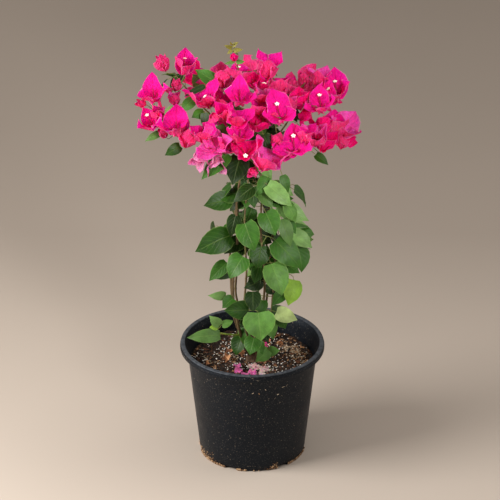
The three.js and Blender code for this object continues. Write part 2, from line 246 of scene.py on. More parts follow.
# The way to the camera, and the directions right and up as it sees them.
CAMERA_ELEVATION = math.radians(28.5)
TO_FRONT = np.array((0, -round(math.cos(CAMERA_ELEVATION), 3), round(math.sin(CAMERA_ELEVATION), 3)))
RIGHT_AND_UP = np.array([(1, 0, 0), (0, TO_FRONT[2], -TO_FRONT[1])])

# What stands in front, as seen from the camera: the larger listed blooms and leaves.
LISTED_BLOOMS = np.array([bloom[0] for bloom in FRONT_BLOOMS if bloom[1] > 28]) * MM
LISTED_LEAVES = np.array([np.add(leaf[0], leaf[1]) / 2 for leaf in FRONT_LEAVES if leaf[2] > 20]) * MM


# ------------------------------------------------------------------ settings


class PotSettings(bpy.types.PropertyGroup):
    """The nursery pot."""

    sides: IntProperty(name="Sides", description="Corners round the pot", default=96, min=24)
    wall: FloatProperty(
        name="Wall", description="Thickness of the moulded wall", default=1.9 * MM, unit="LENGTH"
    )
    lip_drop: FloatProperty(
        name="Lip drop", description="Height of the rolled lip", default=11.4 * MM, unit="LENGTH"
    )
    plastic: StringProperty(name="Plastic", description="Colour of the pot, sRGB hex", default="#070A10")
    # the worn rim colour is partly rubbed plastic and partly a painted highlight on the top of the lip
    lip_lit_and_worn: StringProperty(name="Worn rim", description="Colour where the lip is rubbed", default="#545960")


class SoilSettings(bpy.types.PropertyGroup):
    """The potting mix and what lies on it."""

    seed: IntProperty(name="Seed", description="Seed of the scatter", default=11)
    chips: IntProperty(name="Bark chips", description="Pieces of bark on the surface", default=330, min=0)
    grains: IntProperty(name="Perlite", description="White grains on the surface", default=640, min=0)
    crumbs: IntProperty(name="Crumbs", description="Small dark crumbs", default=3200, min=0)
    caked: IntProperty(name="Caked crumbs", description="Dry crumbs stuck to the pot", default=1000, min=0)
    peat: StringProperty(name="Peat", description="Colour of the mix, sRGB hex", default="#2A1A11")
    perlite: StringProperty(name="Perlite colour", description="Colour of the grains", default="#FFFCF6")


class WoodSettings(bpy.types.PropertyGroup):
    """The stump, the canes, the boughs and the twigs."""

    seed: IntProperty(name="Seed", description="Seed of the bark and twigs", default=5)
    sides: IntProperty(name="Sides", description="Corners round a cane", default=10, min=5)
    ring: FloatProperty(
        name="Ring", description="Distance between rings of bark relief", default=3.5 * MM, unit="LENGTH"
    )
    relief: FloatProperty(
        name="Relief", description="Depth of the bark's ridges", default=0.28 * MM, unit="LENGTH"
    )
    bark: StringProperty(name="Bark", description="Colour of old bark, sRGB hex", default="#6B4C38")
    green: StringProperty(name="Green wood", description="Colour of young shoots", default="#77863F")


class LeafSettings(bpy.types.PropertyGroup):
    """The foliage."""

    seed: IntProperty(name="Seed", description="Seed of the foliage", default=23)
    length: FloatProperty(name="Length", description="Usual leaf length", default=48 * MM, unit="LENGTH")
    head_leaves: IntProperty(name="Head leaves", description="Tried in each mass of blossom", default=16)
    column_leaves: IntProperty(name="Column leaves", description="Tried in each leafy mass", default=26)
    inner_leaves: IntProperty(name="Inner leaves", description="Tried among the canes by each", default=6)


class BlossomSettings(bpy.types.PropertyGroup):
    """The blossom: papery bracts round small true flowers."""

    seed: IntProperty(name="Seed", description="Seed of the blossom", default=37)
    length: FloatProperty(name="Length", description="Usual bract length", default=44 * MM, unit="LENGTH")
    apart: FloatProperty(name="Apart", description="Least between blooms", default=33 * MM, unit="LENGTH")
    star: FloatProperty(name="Star", description="Width of a true flower", default=8.6 * MM, unit="LENGTH")
    star_colour: StringProperty(name="Star colour", description="Colour of the flower", default="#FFF8EA")
    tube_colour: StringProperty(name="Tube colour", description="Colour of its tube", default="#8E1238")


class StageSettings(bpy.types.PropertyGroup):
    """Floor, light and camera."""

    floor: StringProperty(name="Floor", description="Colour of the floor, sRGB hex", default="#D2C6BA")
    key: FloatProperty(name="Key light", description="Power of the left light", default=47, unit="POWER")
    fill: FloatProperty(name="Fill light", description="Power of the right light", default=9, unit="POWER")
    head: FloatProperty(name="Head light", description="Power of the narrow light", default=172, unit="POWER")
    room: FloatProperty(name="Room light", description="Strength of the light all round", default=0.37)
    elevation: FloatProperty(
        name="Camera elevation", description="Angle above level", default=CAMERA_ELEVATION, subtype="ANGLE"
    )
    distance: FloatProperty(name="Camera distance", description="To the plant", default=12.0, unit="LENGTH")
    width: FloatProperty(name="Framed width", description="Width in view", default=0.9276, unit="LENGTH")


# ------------------------------------------------------------------ nodes and finishes


def linear(hex_colour):
    """The linear colour of an sRGB hex value."""
    channels = [int(hex_colour[i : i + 2], 16) / 255 for i in (1, 3, 5)]
    return tuple(c / 12.92 if c <= 0.04045 else ((c + 0.055) / 1.055) ** 2.4 for c in channels) + (1.0,)


def add_node(tree, kind, *inputs, stops=(), **settings):
    """Adds a node with its settings and links, and returns its first output. Its inputs are filled in order
    with other nodes' outputs, numbers or hex colours, and None leaves one as it is. The stops of a colour
    ramp are its positions, each with a hex colour or a grey level."""
    node = tree.nodes.new("ShaderNode" + kind)
    for key, value in settings.items():
        setattr(node, key, value)
    for socket, value in zip([s for s in node.inputs if s.enabled], inputs):
        if isinstance(value, bpy.types.NodeSocket):
            tree.links.new(value, socket)
        elif value is not None:
            socket.default_value = linear(value) if isinstance(value, str) else value
    if stops:
        elements = node.color_ramp.elements
        while len(elements) < len(stops):
            elements.new(0.5)
        for element, (position, shade) in zip(elements, stops):
            element.position = position
            element.color = linear(shade) if isinstance(shade, str) else (shade, shade, shade, 1)
    return next((s for s in node.outputs if s.enabled), None)


def new_finish(name, **constants):
    """A new material with a bare Principled surface: (material, node tree, shader)."""
    material = bpy.data.materials.new(name)
    material.use_nodes = True
    tree = material.node_tree
    tree.nodes.clear()
    surface = add_node(tree, "BsdfPrincipled")
    add_node(tree, "OutputMaterial", surface)
    shader = surface.node
    for key, value in constants.items():
        shader.inputs[key.replace("_", " ")].default_value = value
    return material, tree, shader


def grain(tree, size, detail=3.0, roughness=0.5, stretch=None):
    """A natural unevenness on Object coordinates, its features about that many metres across."""
    place = add_node(tree, "TexCoord").node.outputs["Object"]
    if stretch:
        place = add_node(tree, "Mapping", place, None, None, stretch)
    return add_node(tree, "TexNoise", place, 1 / size, detail, roughness)


def strongest(tree, *patterns):
    """At each place the strongest of some (pattern, share) pairs."""
    best = None
    for pattern, share in patterns:
        part = add_node(tree, "Math", pattern, share, operation="MULTIPLY")
        if best is not None:
            part = add_node(tree, "Math", best, part, operation="MAXIMUM")
        best = part
    return best


def surface_of(tree, shader, colour, height, depth, strength=1.0):
    """Joins a finish's colour to its shader, and its relief: from 0 to 1 high, and depth metres deep."""
    relief = add_node(tree, "Bump", strength, depth, None, height)
    tree.links.new(colour, shader.inputs["Base Color"])
    tree.links.new(relief, shader.inputs["Normal"])


def pot_plastic(settings):
    """Injection-moulded recycled polypropylene: charcoal, dull, scuffed and dusted with dry soil."""
    material, tree, shader = new_finish("moulded_polypropylene", IOR=1.49, Specular_IOR_Level=0.27)
    shader.inputs["Specular Tint"].default_value = linear("#D8EAFF")
    place = add_node(tree, "TexCoord").node.outputs["Object"]
    height = add_node(tree, "SeparateXYZ", place).node.outputs["Z"]
    # broad cloudy scuffs, then fine upright streaks left by handling
    cloud = grain(tree, 38 * MM, 4, 0.6)
    scuffs = add_node(tree, "ValToRGB", cloud, stops=((0.4, 0.0), (0.75, 1.0)))
    base = add_node(tree, "Mix", scuffs, settings.plastic, "#0F1218", data_type="RGBA")
    streaks = grain(tree, 5 * MM, 4, 0.6, stretch=(1, 1, 0.16))
    streaks = add_node(tree, "ValToRGB", streaks, stops=((0.55, 0.0), (0.8, 0.5)))
    base = add_node(tree, "Mix", streaks, base, "#1D1F23", data_type="RGBA")
    # specks of dry soil and lime, one to three millimetres across
    fine = add_node(tree, "ValToRGB", grain(tree, 2.2 * MM, 2, 0.6), stops=((0.60, 0.0), (0.69, 0.5)))
    base = add_node(tree, "Mix", fine, base, "#5E5D5A", data_type="RGBA")
    bold = add_node(tree, "ValToRGB", grain(tree, 4.4 * MM, 3, 0.6), stops=((0.66, 0.0), (0.70, 0.7)))
    base = add_node(tree, "Mix", bold, base, "#8A7E70", data_type="RGBA")
    # the lip's top is lighter grey, most on its upper half: partly rubbed plastic and partly a painted
    # highlight where it catches the light
    lip = add_node(tree, "MapRange", height, POT_HIGH.z - 2.4 * MM, POT_HIGH.z - 0.6 * MM)
    rubbed_and_lit = add_node(tree, "ValToRGB", grain(tree, 9 * MM, 4, 0.6), stops=((0.35, 0.30), (0.7, 1.0)))
    lip = add_node(tree, "Math", lip, rubbed_and_lit, operation="MULTIPLY")
    base = add_node(tree, "Mix", lip, base, settings.lip_lit_and_worn, data_type="RGBA")
    # wet soil has dried brown round the foot
    smear = add_node(tree, "MapRange", height, 12 * MM, 0.0)
    for size, detail, roughness, stops in (
        (7 * MM, 5, 0.7, ((0.46, 0.0), (0.62, 0.9))),
        (40 * MM, 2, 0.5, ((0.48, 0.0), (0.62, 1.0))),
    ):
        patch = add_node(tree, "ValToRGB", grain(tree, size, detail, roughness), stops=stops)
        smear = add_node(tree, "Math", smear, patch, operation="MULTIPLY")
    base = add_node(tree, "Mix", smear, base, "#5A4636", data_type="RGBA")
    rough = add_node(tree, "ValToRGB", cloud, stops=((0.3, 0.40), (0.7, 0.58)))
    tree.links.new(rough, shader.inputs["Roughness"])
    surface_of(tree, shader, base, grain(tree, 1.6 * MM, 3, 0.6), 0.12 * MM, 0.6)
    return material


def potting_mix(settings):
    """Bark and peat potting mix: nearly black where moist, with brown fibres; crumbly and dull."""
    material, tree, shader = new_finish("bark_and_peat_mix", Roughness=0.95)
    tones = ((0.35, "#0C0705"), (0.52, settings.peat), (0.70, "#3E281B"), (0.84, "#5E4029"))
    base = add_node(tree, "ValToRGB", grain(tree, 9 * MM, 5, 0.7), stops=tones)
    surface_of(tree, shader, base, grain(tree, 2.2 * MM, 4, 0.7), 1.2 * MM)
    return material


def bark_piece(name, dark, light):
    """Composted pine bark: split, fibrous and matt, from black-brown to tan."""
    material, tree, shader = new_finish(name, Roughness=0.9)
    fibres = grain(tree, 3 * MM, 4, 0.7)
    base = add_node(tree, "ValToRGB", fibres, stops=((0.3, dark), (0.7, light)))
    surface_of(tree, shader, base, fibres, 0.5 * MM)
    return material


def perlite(settings):
    """Expanded volcanic glass: chalk-white, pitted grains, greyer in the pits."""
    material, tree, shader = new_finish("expanded_perlite", Roughness=0.85)
    pits = grain(tree, 1.1 * MM, 2, 0.5)
    base = add_node(tree, "ValToRGB", pits, stops=((0.32, "#9C8D7B"), (0.5, settings.perlite)))
    surface_of(tree, shader, base, pits, 0.3 * MM)
    return material


def cane_bark(name, settings, young):
    """Thin woody bark: fine long ridges, brown where old and green-tinged where young; satin."""
    material, tree, shader = new_finish(name, Roughness=0.72)
    ridges = grain(tree, 1.8 * MM, 4, 0.65, stretch=(1, 1, 0.12))
    tones = ((0.3, "#3A281D"), (0.6, settings.bark), (0.8, "#94765A"))
    base = add_node(tree, "ValToRGB", ridges, stops=tones)
    patches = ((0.4, young * 0.5), (0.7, min(1.0, young * 1.3)))
    tint = add_node(tree, "ValToRGB", grain(tree, 14 * MM, 3, 0.6), stops=patches)
    base = add_node(tree, "Mix", tint, base, settings.green, data_type="RGBA")
    surface_of(tree, shader, base, ridges, 0.35 * MM)
    return material


def vein_lines(tree, slant, width):
    """(side veins, midrib, rim) of a blade from its own map, 1 on the line and 0 between. Side veins rise by
    slant towards the rim, and width is the share of their spacing that each takes up."""
    pairs = 6
    rib_width = 1 / 14
    across = add_node(tree, "SeparateXYZ", add_node(tree, "UVMap", uv_map="blade"))
    side = add_node(tree, "Math", across, 2.0, -1.0, operation="MULTIPLY_ADD")
    side = add_node(tree, "Math", side, operation="ABSOLUTE")
    rise = add_node(tree, "Math", side, -slant, across.node.outputs["Y"], operation="MULTIPLY_ADD")
    wave = add_node(tree, "Math", rise, float(pairs), operation="MULTIPLY")
    wave = add_node(tree, "Math", wave, operation="FRACT")
    wave = add_node(tree, "Math", wave, 0.5, operation="SUBTRACT")
    from_line = add_node(tree, "Math", wave, operation="ABSOLUTE")
    line = add_node(tree, "MapRange", from_line, width, 0.0)
    rib = add_node(tree, "MapRange", side, rib_width, 0.0)
    rim = add_node(tree, "MapRange", side, 0.92, 1.0)
    return line, rib, rim


def leaf_blade(name, colour):
    """A living leaf's upper side: smooth, softly glossy, its veins and rim a little paler than the blade."""
    material, tree, shader = new_finish(name, Roughness=0.42, IOR=1.40, Specular_IOR_Level=0.36)
    line, rib, rim = vein_lines(tree, 0.42, 1 / 7)
    cloud = add_node(tree, "ValToRGB", grain(tree, 14 * MM, 3, 0.6), stops=((0.3, 0.66), (0.7, 1.10)))
    base = add_node(tree, "Mix", 1.0, colour, cloud, data_type="RGBA", blend_type="MULTIPLY")
    paler = strongest(tree, (line, 0.045), (rib, 0.15), (rim, 0.28))
    base = add_node(tree, "Mix", paler, base, "#A3C268", data_type="RGBA")
    # veins are grooves about a quarter of a millimetre deep, drawn wide enough to show
    groove = strongest(tree, (line, 0.6), (rib, 1.0))
    height = add_node(tree, "Math", 1.0, groove, operation="SUBTRACT")
    surface_of(tree, shader, base, height, 0.28 * MM)
    return material


def leaf_underside():
    """A leaf's lower side: paler, greyer and duller, with raised veins."""
    material, tree, shader = new_finish("leaf_underside", Roughness=0.62, IOR=1.4)
    line, rib, _ = vein_lines(tree, 0.42, 1 / 7)
    veins = strongest(tree, (line, 0.25), (rib, 0.6))
    base = add_node(tree, "Mix", veins, "#6C8F49", "#A5BE80", data_type="RGBA")
    surface_of(tree, shader, base, veins, 0.7 * MM)
    return material


def bract_paper(name, colour, vein):
    """A papery bract: thin, dry and matt, crinkled between a net of darker veins, with a pale rim and painted
    shade in its creases.
    """
    material, tree, shader = new_finish(
        name, Roughness=0.7, IOR=1.30, Subsurface_Weight=0.5, Specular_IOR_Level=0.16
    )
    shader.inputs["Subsurface Radius"].default_value = (1.0, 0.15, 0.45)
    shader.inputs["Subsurface Scale"].default_value = 4 * MM
    line, rib, rim = vein_lines(tree, 0.5, 1 / 5)
    veins = strongest(tree, (line, 0.30), (rib, 0.6))
    crinkle = grain(tree, 5 * MM, 4, 0.6)
    # painted shade: the crinkle darkens the bract towards its vein tone, standing for shade in its creases
    crease_shade = add_node(tree, "ValToRGB", crinkle, stops=((0.38, 0.0), (0.66, 0.5)))
    base = add_node(tree, "Mix", crease_shade, colour, vein, data_type="RGBA")
    base = add_node(tree, "Mix", veins, base, vein, data_type="RGBA")
    base = add_node(tree, "Mix", strongest(tree, (rim, 0.3)), base, "#FF7FC4", data_type="RGBA")
    height = add_node(tree, "Math", crinkle, 0.8, operation="MULTIPLY")
    height = add_node(tree, "Math", veins, -0.6, height, operation="MULTIPLY_ADD")
    surface_of(tree, shader, base, height, 2.6 * MM)
    return material


def soft_skin(name, low, high, roughness, feature=2.5 * MM):
    """A small fleshy part: a petal, a tube or a bud, with soft mottling between two colours."""
    material, tree, shader = new_finish(name, Roughness=roughness)
    mottle = grain(tree, feature, 3, 0.55)
    base = add_node(tree, "ValToRGB", mottle, stops=((0.35, low), (0.65, high)))
    surface_of(tree, shader, base, mottle, 0.2 * MM)
    return material


def floor_finish(settings):
    """Matt paper sweep, faintly cloudy and a little darker towards the back, a painted shade for the light
    falling off.
    """
    near, far = -0.21, 1.19
    room_starts, room_ends = 4.5, 10.5
    material, tree, shader = new_finish("matt_paper_floor", Roughness=0.85)
    place = add_node(tree, "TexCoord").node.outputs["Object"]
    # painted shade: the paper darkens towards the back, standing for the fall-off of the light
    depth = add_node(tree, "MapRange", add_node(tree, "SeparateXYZ", place).node.outputs["Y"], near, far)
    shade = add_node(tree, "ValToRGB", depth, stops=((0.0, 0.0), (0.75, 1.0)))
    base = add_node(tree, "Mix", shade, settings.floor, "#AA9E93", data_type="RGBA")
    # far off the paper pales into the room, so that a low view shows no hard horizon
    away = add_node(tree, "VectorMath", place, operation="LENGTH")
    away = add_node(tree, "MapRange", away, room_starts, room_ends)
    base = add_node(tree, "Mix", away, base, "#FAF8F6", data_type="RGBA")
    cloud = add_node(tree, "ValToRGB", grain(tree, 0.5, 2, 0.5), stops=((0.3, 0.97), (0.7, 1.0)))
    base = add_node(tree, "Mix", 1.0, base, cloud, data_type="RGBA", blend_type="MULTIPLY")
    tree.links.new(base, shader.inputs["Base Color"])
    return material


# ------------------------------------------------------------------ meshes


def fresh_start():
    """Leaves edit mode, if it is on, and selects nothing."""
    if bpy.context.object and bpy.context.object.mode != "OBJECT":
        bpy.ops.object.mode_set(mode="OBJECT")
    bpy.ops.object.select_all(action="DESELECT")


def settle(piece, name, slot, *nodes):
    """Names a finished piece, puts its place in its mesh, and ties it to the frame."""
    piece.name = name
    piece.data.name = name
    piece.data.transform(piece.matrix_world)
    piece.matrix_world.identity()
    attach(piece, "root")
    if nodes:
        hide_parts(*nodes)
    return piece


def smooth_by_angle(piece, degrees):
    """Smooth shading that keeps the edges sharper than that."""
    fresh_start()
    piece.select_set(True)
    bpy.context.view_layer.objects.active = piece
    bpy.ops.object.shade_smooth_by_angle(angle=math.radians(degrees))


class Gathering:
    """Many small shapes joined into one mesh, each face with its material and its place on the blade."""

    def __init__(self):
        self.points = []
        self.faces = []
        self.slots = []
        self.places = []
        self.count = 0

    def add(self, points, faces, slots, places=None):
        """Adds one shape: an array of points, its faces, and one slot number or one for each face."""
        self.faces += [tuple(i + self.count for i in face) for face in faces]
        self.slots += [slots] * len(faces) if isinstance(slots, int) else list(slots)
        if places is None:
            places = np.zeros((len(points), 2))
        self.places.append(places)
        self.points.append(points)
        self.count += len(points)

    def build(self, name, finishes, angle=50):
        """The joined object, smooth but for its sharp rims."""
        mesh = bpy.data.meshes.new(name)
        mesh.from_pydata(np.concatenate(self.points).tolist(), [], self.faces)
        for finish in finishes:
            mesh.materials.append(finish)
        mesh.polygons.foreach_set("material_index", self.slots)
        corner_points = np.zeros(len(mesh.loops), dtype=np.int32)
        mesh.loops.foreach_get("vertex_index", corner_points)
        layer = mesh.uv_layers.new(name="blade")
        layer.data.foreach_set("uv", np.concatenate(self.places)[corner_points].astype(np.float32).ravel())
        mesh.update()
        piece = bpy.data.objects.new(name, mesh)
        bpy.context.collection.objects.link(piece)
        smooth_by_angle(piece, angle)
        return piece


def turned_wall(profile, sides):
    """A round wall: a filled disc that is extruded ring by ring through (radius, height) pairs."""
    fresh_start()
    radius, height = profile[0]
    place = (0, 0, height)
    bpy.ops.mesh.primitive_circle_add(vertices=sides, radius=radius, fill_type="NGON", location=place)
    wall = bpy.context.object
    bpy.ops.object.transform_apply(location=True)
    bpy.ops.object.mode_set(mode="EDIT")
    bpy.ops.mesh.select_mode(type="EDGE")
    bpy.ops.mesh.select_all(action="SELECT")
    bpy.ops.mesh.region_to_loop()
    for last, (radius, height) in zip(profile, profile[1:]):
        bpy.ops.mesh.extrude_edges_move()
        growth = radius / last[0]
        bpy.ops.transform.resize(value=(growth, growth, 1), center_override=(0, 0, last[1]))
        bpy.ops.transform.translate(value=(0, 0, height - last[1]))
    bpy.ops.mesh.edge_face_add()
    bpy.ops.mesh.select_all(action="SELECT")
    bpy.ops.mesh.normals_make_consistent(inside=False)
    bpy.ops.object.mode_set(mode="OBJECT")
    return wall


def cut_away(piece, cutters):
    """Cuts each of those objects out of a piece and removes them."""
    for cutter in cutters:
        cut = piece.modifiers.new("cut", "BOOLEAN")
        cut.operation = "DIFFERENCE"
        cut.object = cutter
        bpy.context.view_layer.objects.active = piece
        bpy.ops.object.modifier_apply(modifier=cut.name)
        bpy.data.objects.remove(cutter)


def curve_through(points, step):
    """A smooth line through points, as an array with a point about every step metres."""
    knots = [Vector(p) for p in points]
    knots = [2 * knots[0] - knots[1], *knots, 2 * knots[-1] - knots[-2]]
    line = []
    for a, b, c, d in zip(knots, knots[1:], knots[2:], knots[3:]):
        pieces = max(1, round((c - b).length / step))
        for i in range(pieces):
            t = i / pieces
            spot = 2 * b + (c - a) * t + (2 * a - 5 * b + 4 * c - d) * t * t
            line.append((spot + (3 * b - a - 3 * c + d) * t**3) / 2)
    line.append(knots[-2])
    return np.array([tuple(p) for p in line])


def tube(line, radii, sides, relief=None):
    """(points, faces) of a closed round limb along a line; relief(ring, turn) adds to its radius."""
    ahead = np.gradient(line, axis=0)
    ahead /= np.linalg.norm(ahead, axis=1, keepdims=True)
    across = np.cross(ahead[0], (0.3, 0.9, 0.1))
    rings = []
    for k, (spot, way) in enumerate(zip(line, ahead)):
        across = across - way * np.dot(across, way)
        across /= np.linalg.norm(across)
        beyond = np.cross(way, across)
        for j in range(sides):
            turn = 2 * math.pi * j / sides
            radius = radii[k] + (relief(k, turn) if relief else 0)
            rings.append(spot + radius * (across * math.cos(turn) + beyond * math.sin(turn)))
    last = len(line) - 1
    points = np.array([*rings, line[0] - ahead[0] * radii[0] * 0.3, line[-1] + ahead[-1] * radii[-1] * 0.6])
    faces = []
    for k in range(last):
        for j in range(sides):
            a, b = k * sides + j, k * sides + (j + 1) % sides
            faces.append((a, b, b + sides, a + sides))
    for j in range(sides):
        k = (j + 1) % sides
        faces.append((k, j, len(rings)))
        faces.append((last * sides + j, last * sides + k, len(rings) + 1))
    return points, faces


def limb_line(node, away):
    """The middle line of a limb's solid and its half width at each point, from the rings of its corners.
    Rings lie along the limb more than away metres apart."""
    corners = {tuple(round(c, 6) for c in v.co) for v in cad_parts[node].data.vertices}
    corners = np.array(sorted(corners))
    middle = corners.mean(axis=0)
    axis = np.linalg.svd(corners - middle, full_matrices=False)[2][0]
    if axis[2] < 0:
        axis = -axis
    along = (corners - middle) @ axis
    order = np.argsort(along)
    rings = np.split(order, np.nonzero(np.diff(along[order]) > away)[0] + 1)
    line = np.array([corners[ring].mean(axis=0) for ring in rings])
    widths = [np.linalg.norm(corners[ring] - spot, axis=1).max() for ring, spot in zip(rings, line)]
    return line, widths


# ------------------------------------------------------------------ growth


class Wood:
    """The limbs grown so far, as points that a new twig may join."""

    def __init__(self):
        self.points = np.zeros((0, 3))

    def record(self, line):
        self.points = np.vstack([self.points, line])

    def nearest(self, spot):
        return self.points[np.argmin(np.linalg.norm(self.points - spot, axis=1))]


class Growth:
    """What the operators share: the wood, the twigs and stalks to be joined, and where blooms are."""

    wood = Wood()
    twigs = Gathering()
    bloom_spots = []


def unit(vector):
    return np.asarray(vector, float) / max(np.linalg.norm(vector), 1e-12)


def smooth_step(value):
    value = np.clip(value, 0, 1)
    return value * value * (3 - 2 * value)


def reach_out(spot, way, thick, thin, slot, sag=0.0, record=False):
    """Grows a twig from the nearest wood to a spot, arriving in a direction, and joins it to the twigs."""
    spot = np.asarray(spot, float)
    way = unit(way)
    start = Growth.wood.nearest(spot - way * 10 * MM)
    span = np.linalg.norm(spot - start)
    if span < 0.5 * MM:
        return
    first = start + (spot - start) * 0.35 - np.array((0, 0, sag * span))
    second = spot - way * span * 0.38
    count = max(4, int(span / (7 * MM)))
    t = np.linspace(0, 1, count + 1)[:, None]
    line = (1 - t) ** 3 * start + 3 * (1 - t) ** 2 * t * first + 3 * (1 - t) * t * t * second + t**3 * spot
    radii = np.linspace(thick, thin, count + 1)
    points, faces = tube(line, radii, 5)
    Growth.twigs.add(points, faces, slot)
    if record:
        Growth.wood.record(line[1:])


def blade_pattern(name, along, across):
    """A blade modelled once, as a closed two-sided sheet: its ends gathered to points and its lower
    side joined to its upper side round the rim. Returns along and across places, sides and faces."""
    gap = 0.02
    fresh_start()
    bpy.ops.mesh.primitive_grid_add(x_subdivisions=across, y_subdivisions=along, size=2)
    blade = bpy.context.object
    blade.name = name
    for end in (-1, 1):
        bpy.ops.object.mode_set(mode="EDIT")
        bpy.ops.mesh.select_mode(type="VERT")
        bpy.ops.mesh.select_all(action="DESELECT")
        sheet = bmesh.from_edit_mesh(blade.data)
        for vertex in sheet.verts:
            vertex.select = abs(vertex.co.y - end) < 1e-4
        bmesh.update_edit_mesh(blade.data)
        bpy.ops.mesh.merge(type="CENTER")
    bpy.ops.mesh.select_all(action="SELECT")
    bpy.ops.mesh.duplicate()
    bpy.ops.mesh.flip_normals()
    bpy.ops.transform.translate(value=(0, 0, -gap))
    bpy.ops.mesh.select_all(action="DESELECT")
    bpy.ops.mesh.select_non_manifold()
    bpy.ops.mesh.remove_doubles(threshold=gap * 1.5)
    bpy.ops.object.mode_set(mode="OBJECT")
    corners = np.array([tuple(v.co) for v in blade.data.vertices])
    faces = [tuple(p.vertices) for p in blade.data.polygons]
    upper = np.array([p.normal.z > 0 for p in blade.data.polygons])
    bpy.data.objects.remove(blade)
    rim = (np.abs(corners[:, 0]) > 0.999) | (np.abs(corners[:, 1]) > 0.999)
    # the rows stand closer together towards both ends, where the outline turns most
    even = (corners[:, 1] + 1) / 2
    rows = 0.3 * even + 0.7 * (1 - np.cos(math.pi * even)) / 2
    return {
        "along": rows,
        "across": corners[:, 0],
        "lower": (corners[:, 2] < -gap / 2) & ~rim,
        "faces": faces,
        "upper": upper,
        "places": np.column_stack([0.5 + corners[:, 0] / 2, rows]),
    }


def leaf_outline(s):
    """Half width of a leaf along its length, at most 1: broad near the foot, drawn out to a drip tip."""
    body = np.sin(math.pi * s**0.62) ** 0.8
    return body * (1 - 0.42 * smooth_step((s - 0.7) / 0.25))


def bract_outline(s):
    """Half width of a bract: an egg shape with a short point."""
    body = np.sin(math.pi * s**0.78) ** 0.70
    return body * (1 - 0.34 * smooth_step((s - 0.77) / 0.20))


def shape_blade(
    pattern,
    outline,
    length,
    width,
    bend,
    cup=0.0,
    fold=0.0,
    lobes=0.0,
    wave=0.0,
    twist=0.0,
    phase=0.0,
    crumple=0.0,
):
    """Points of a blade from its foot along +Y, facing +Z: bend curls it back along its length,
    cup and fold lift its sides, lobes draw the heart shape, twist turns its end, wave ripples its rim
    and crumple dents its middle."""
    thickness = 0.45 * MM
    s, v = pattern["along"], pattern["across"]
    half = 0.5 * width * outline(np.clip(s, 1e-6, 1 - 1e-6))
    half = np.where((s < 1e-4) | (s > 1 - 1e-4), 0, half)
    x = half * v
    run = length * (s - lobes * (1 - s) ** 4 * v * v)
    curve = (bend if abs(bend) > 1e-3 else 1e-3) / length
    angle = curve * run
    rise = fold * np.abs(x) + cup * x * x / (0.5 * width)
    middle = np.sin(math.pi * s)
    rise += wave * width * v * v * np.sin(phase + 10 * s + 1.9 * np.sign(v)) * middle
    rise += crumple * width * np.sin(2.3 * phase + 12 * s + 2 * v) * np.sin(phase + 4.5 * v) * middle
    rise -= np.where(pattern["lower"], thickness * (1 - v * v), 0)
    turn = twist * s
    x, rise = x * np.cos(turn) - rise * np.sin(turn), x * np.sin(turn) + rise * np.cos(turn)
    y = np.sin(angle) / curve + rise * np.sin(angle)
    z = -(1 - np.cos(angle)) / curve + rise * np.cos(angle)
    return np.column_stack([x, y, z])


def placed(points, foot, way, facing):
    """Points turned so that +Y runs along way and +Z faces as near as it can to facing."""
    way = unit(way)
    facing = unit(facing - way * np.dot(facing, way))
    side = np.cross(way, facing)
    return np.asarray(foot) + points @ np.array([side, way, facing])


def within(tip, centre, half):
    """Whether a tip stays by its own mass, so the plant keeps its outline."""
    return bool(np.all(np.abs(np.asarray(tip) - centre) < half + 5 * MM))


def grow_leaf(leaves, pattern, rng, foot, tip, width, shade, facing):
    """Adds one leaf between its foot and its tip, and the stalk that ties it to the wood."""
    foot, tip = np.asarray(foot, float), np.asarray(tip, float)
    way = tip - foot
    length = np.linalg.norm(way)
    bend = rng.uniform(0.3, 1.0)
    # the tip hangs below the line from the foot by half the bend, so the leaf starts that much higher
    lift = unit(facing - unit(way) * np.dot(facing, unit(way)))
    start = unit(unit(way) * math.cos(bend / 2) + lift * math.sin(bend / 2))
    points = shape_blade(
        pattern,
        leaf_outline,
        length * (1 + bend * bend / 24),
        width,
        bend,
        cup=rng.uniform(-0.45, 0.0),
        fold=rng.uniform(0.12, 0.42),
        lobes=rng.uniform(0.10, 0.22) * min(1.0, width / length),
        wave=rng.uniform(0.015, 0.06),
        twist=rng.uniform(-0.35, 0.35),
        phase=rng.uniform(0, 6.28),
    )
    under = len(LEAF_SHADES)
    slots = np.where(pattern["upper"], list(LEAF_SHADES).index(shade), under)
    leaves.add(placed(points, foot, start, lift), pattern["faces"], slots.tolist(), pattern["places"])
    long_way = np.linalg.norm(Growth.wood.nearest(foot) - foot) > 22 * MM
    reach_out(foot, start, 0.9 * MM if long_way else 0.7 * MM, 0.55 * MM, 1, sag=0.08, record=long_way)


def off_screen(spot, screen):
    """How far a spot is, as seen from the front, from the nearest of a screen of nearer spots that
    hides it, so that what fills in behind leaves the open places open."""
    nearer = screen[(screen - spot) @ TO_FRONT > 0]
    if not len(nearer):
        return math.inf
    return np.linalg.norm((nearer - spot) @ RIGHT_AND_UP.T, axis=1).min()


def bloom_axis(lean, toward):
    """The way of a bloom as seen from the front: lean in degrees to the right of upright, then turned
    to the front, 0 not at all and 1 all the way."""
    lean = math.radians(lean)
    across = np.array((math.sin(lean), math.cos(lean))) @ RIGHT_AND_UP
    return unit(across * (1 - toward) + TO_FRONT * toward)


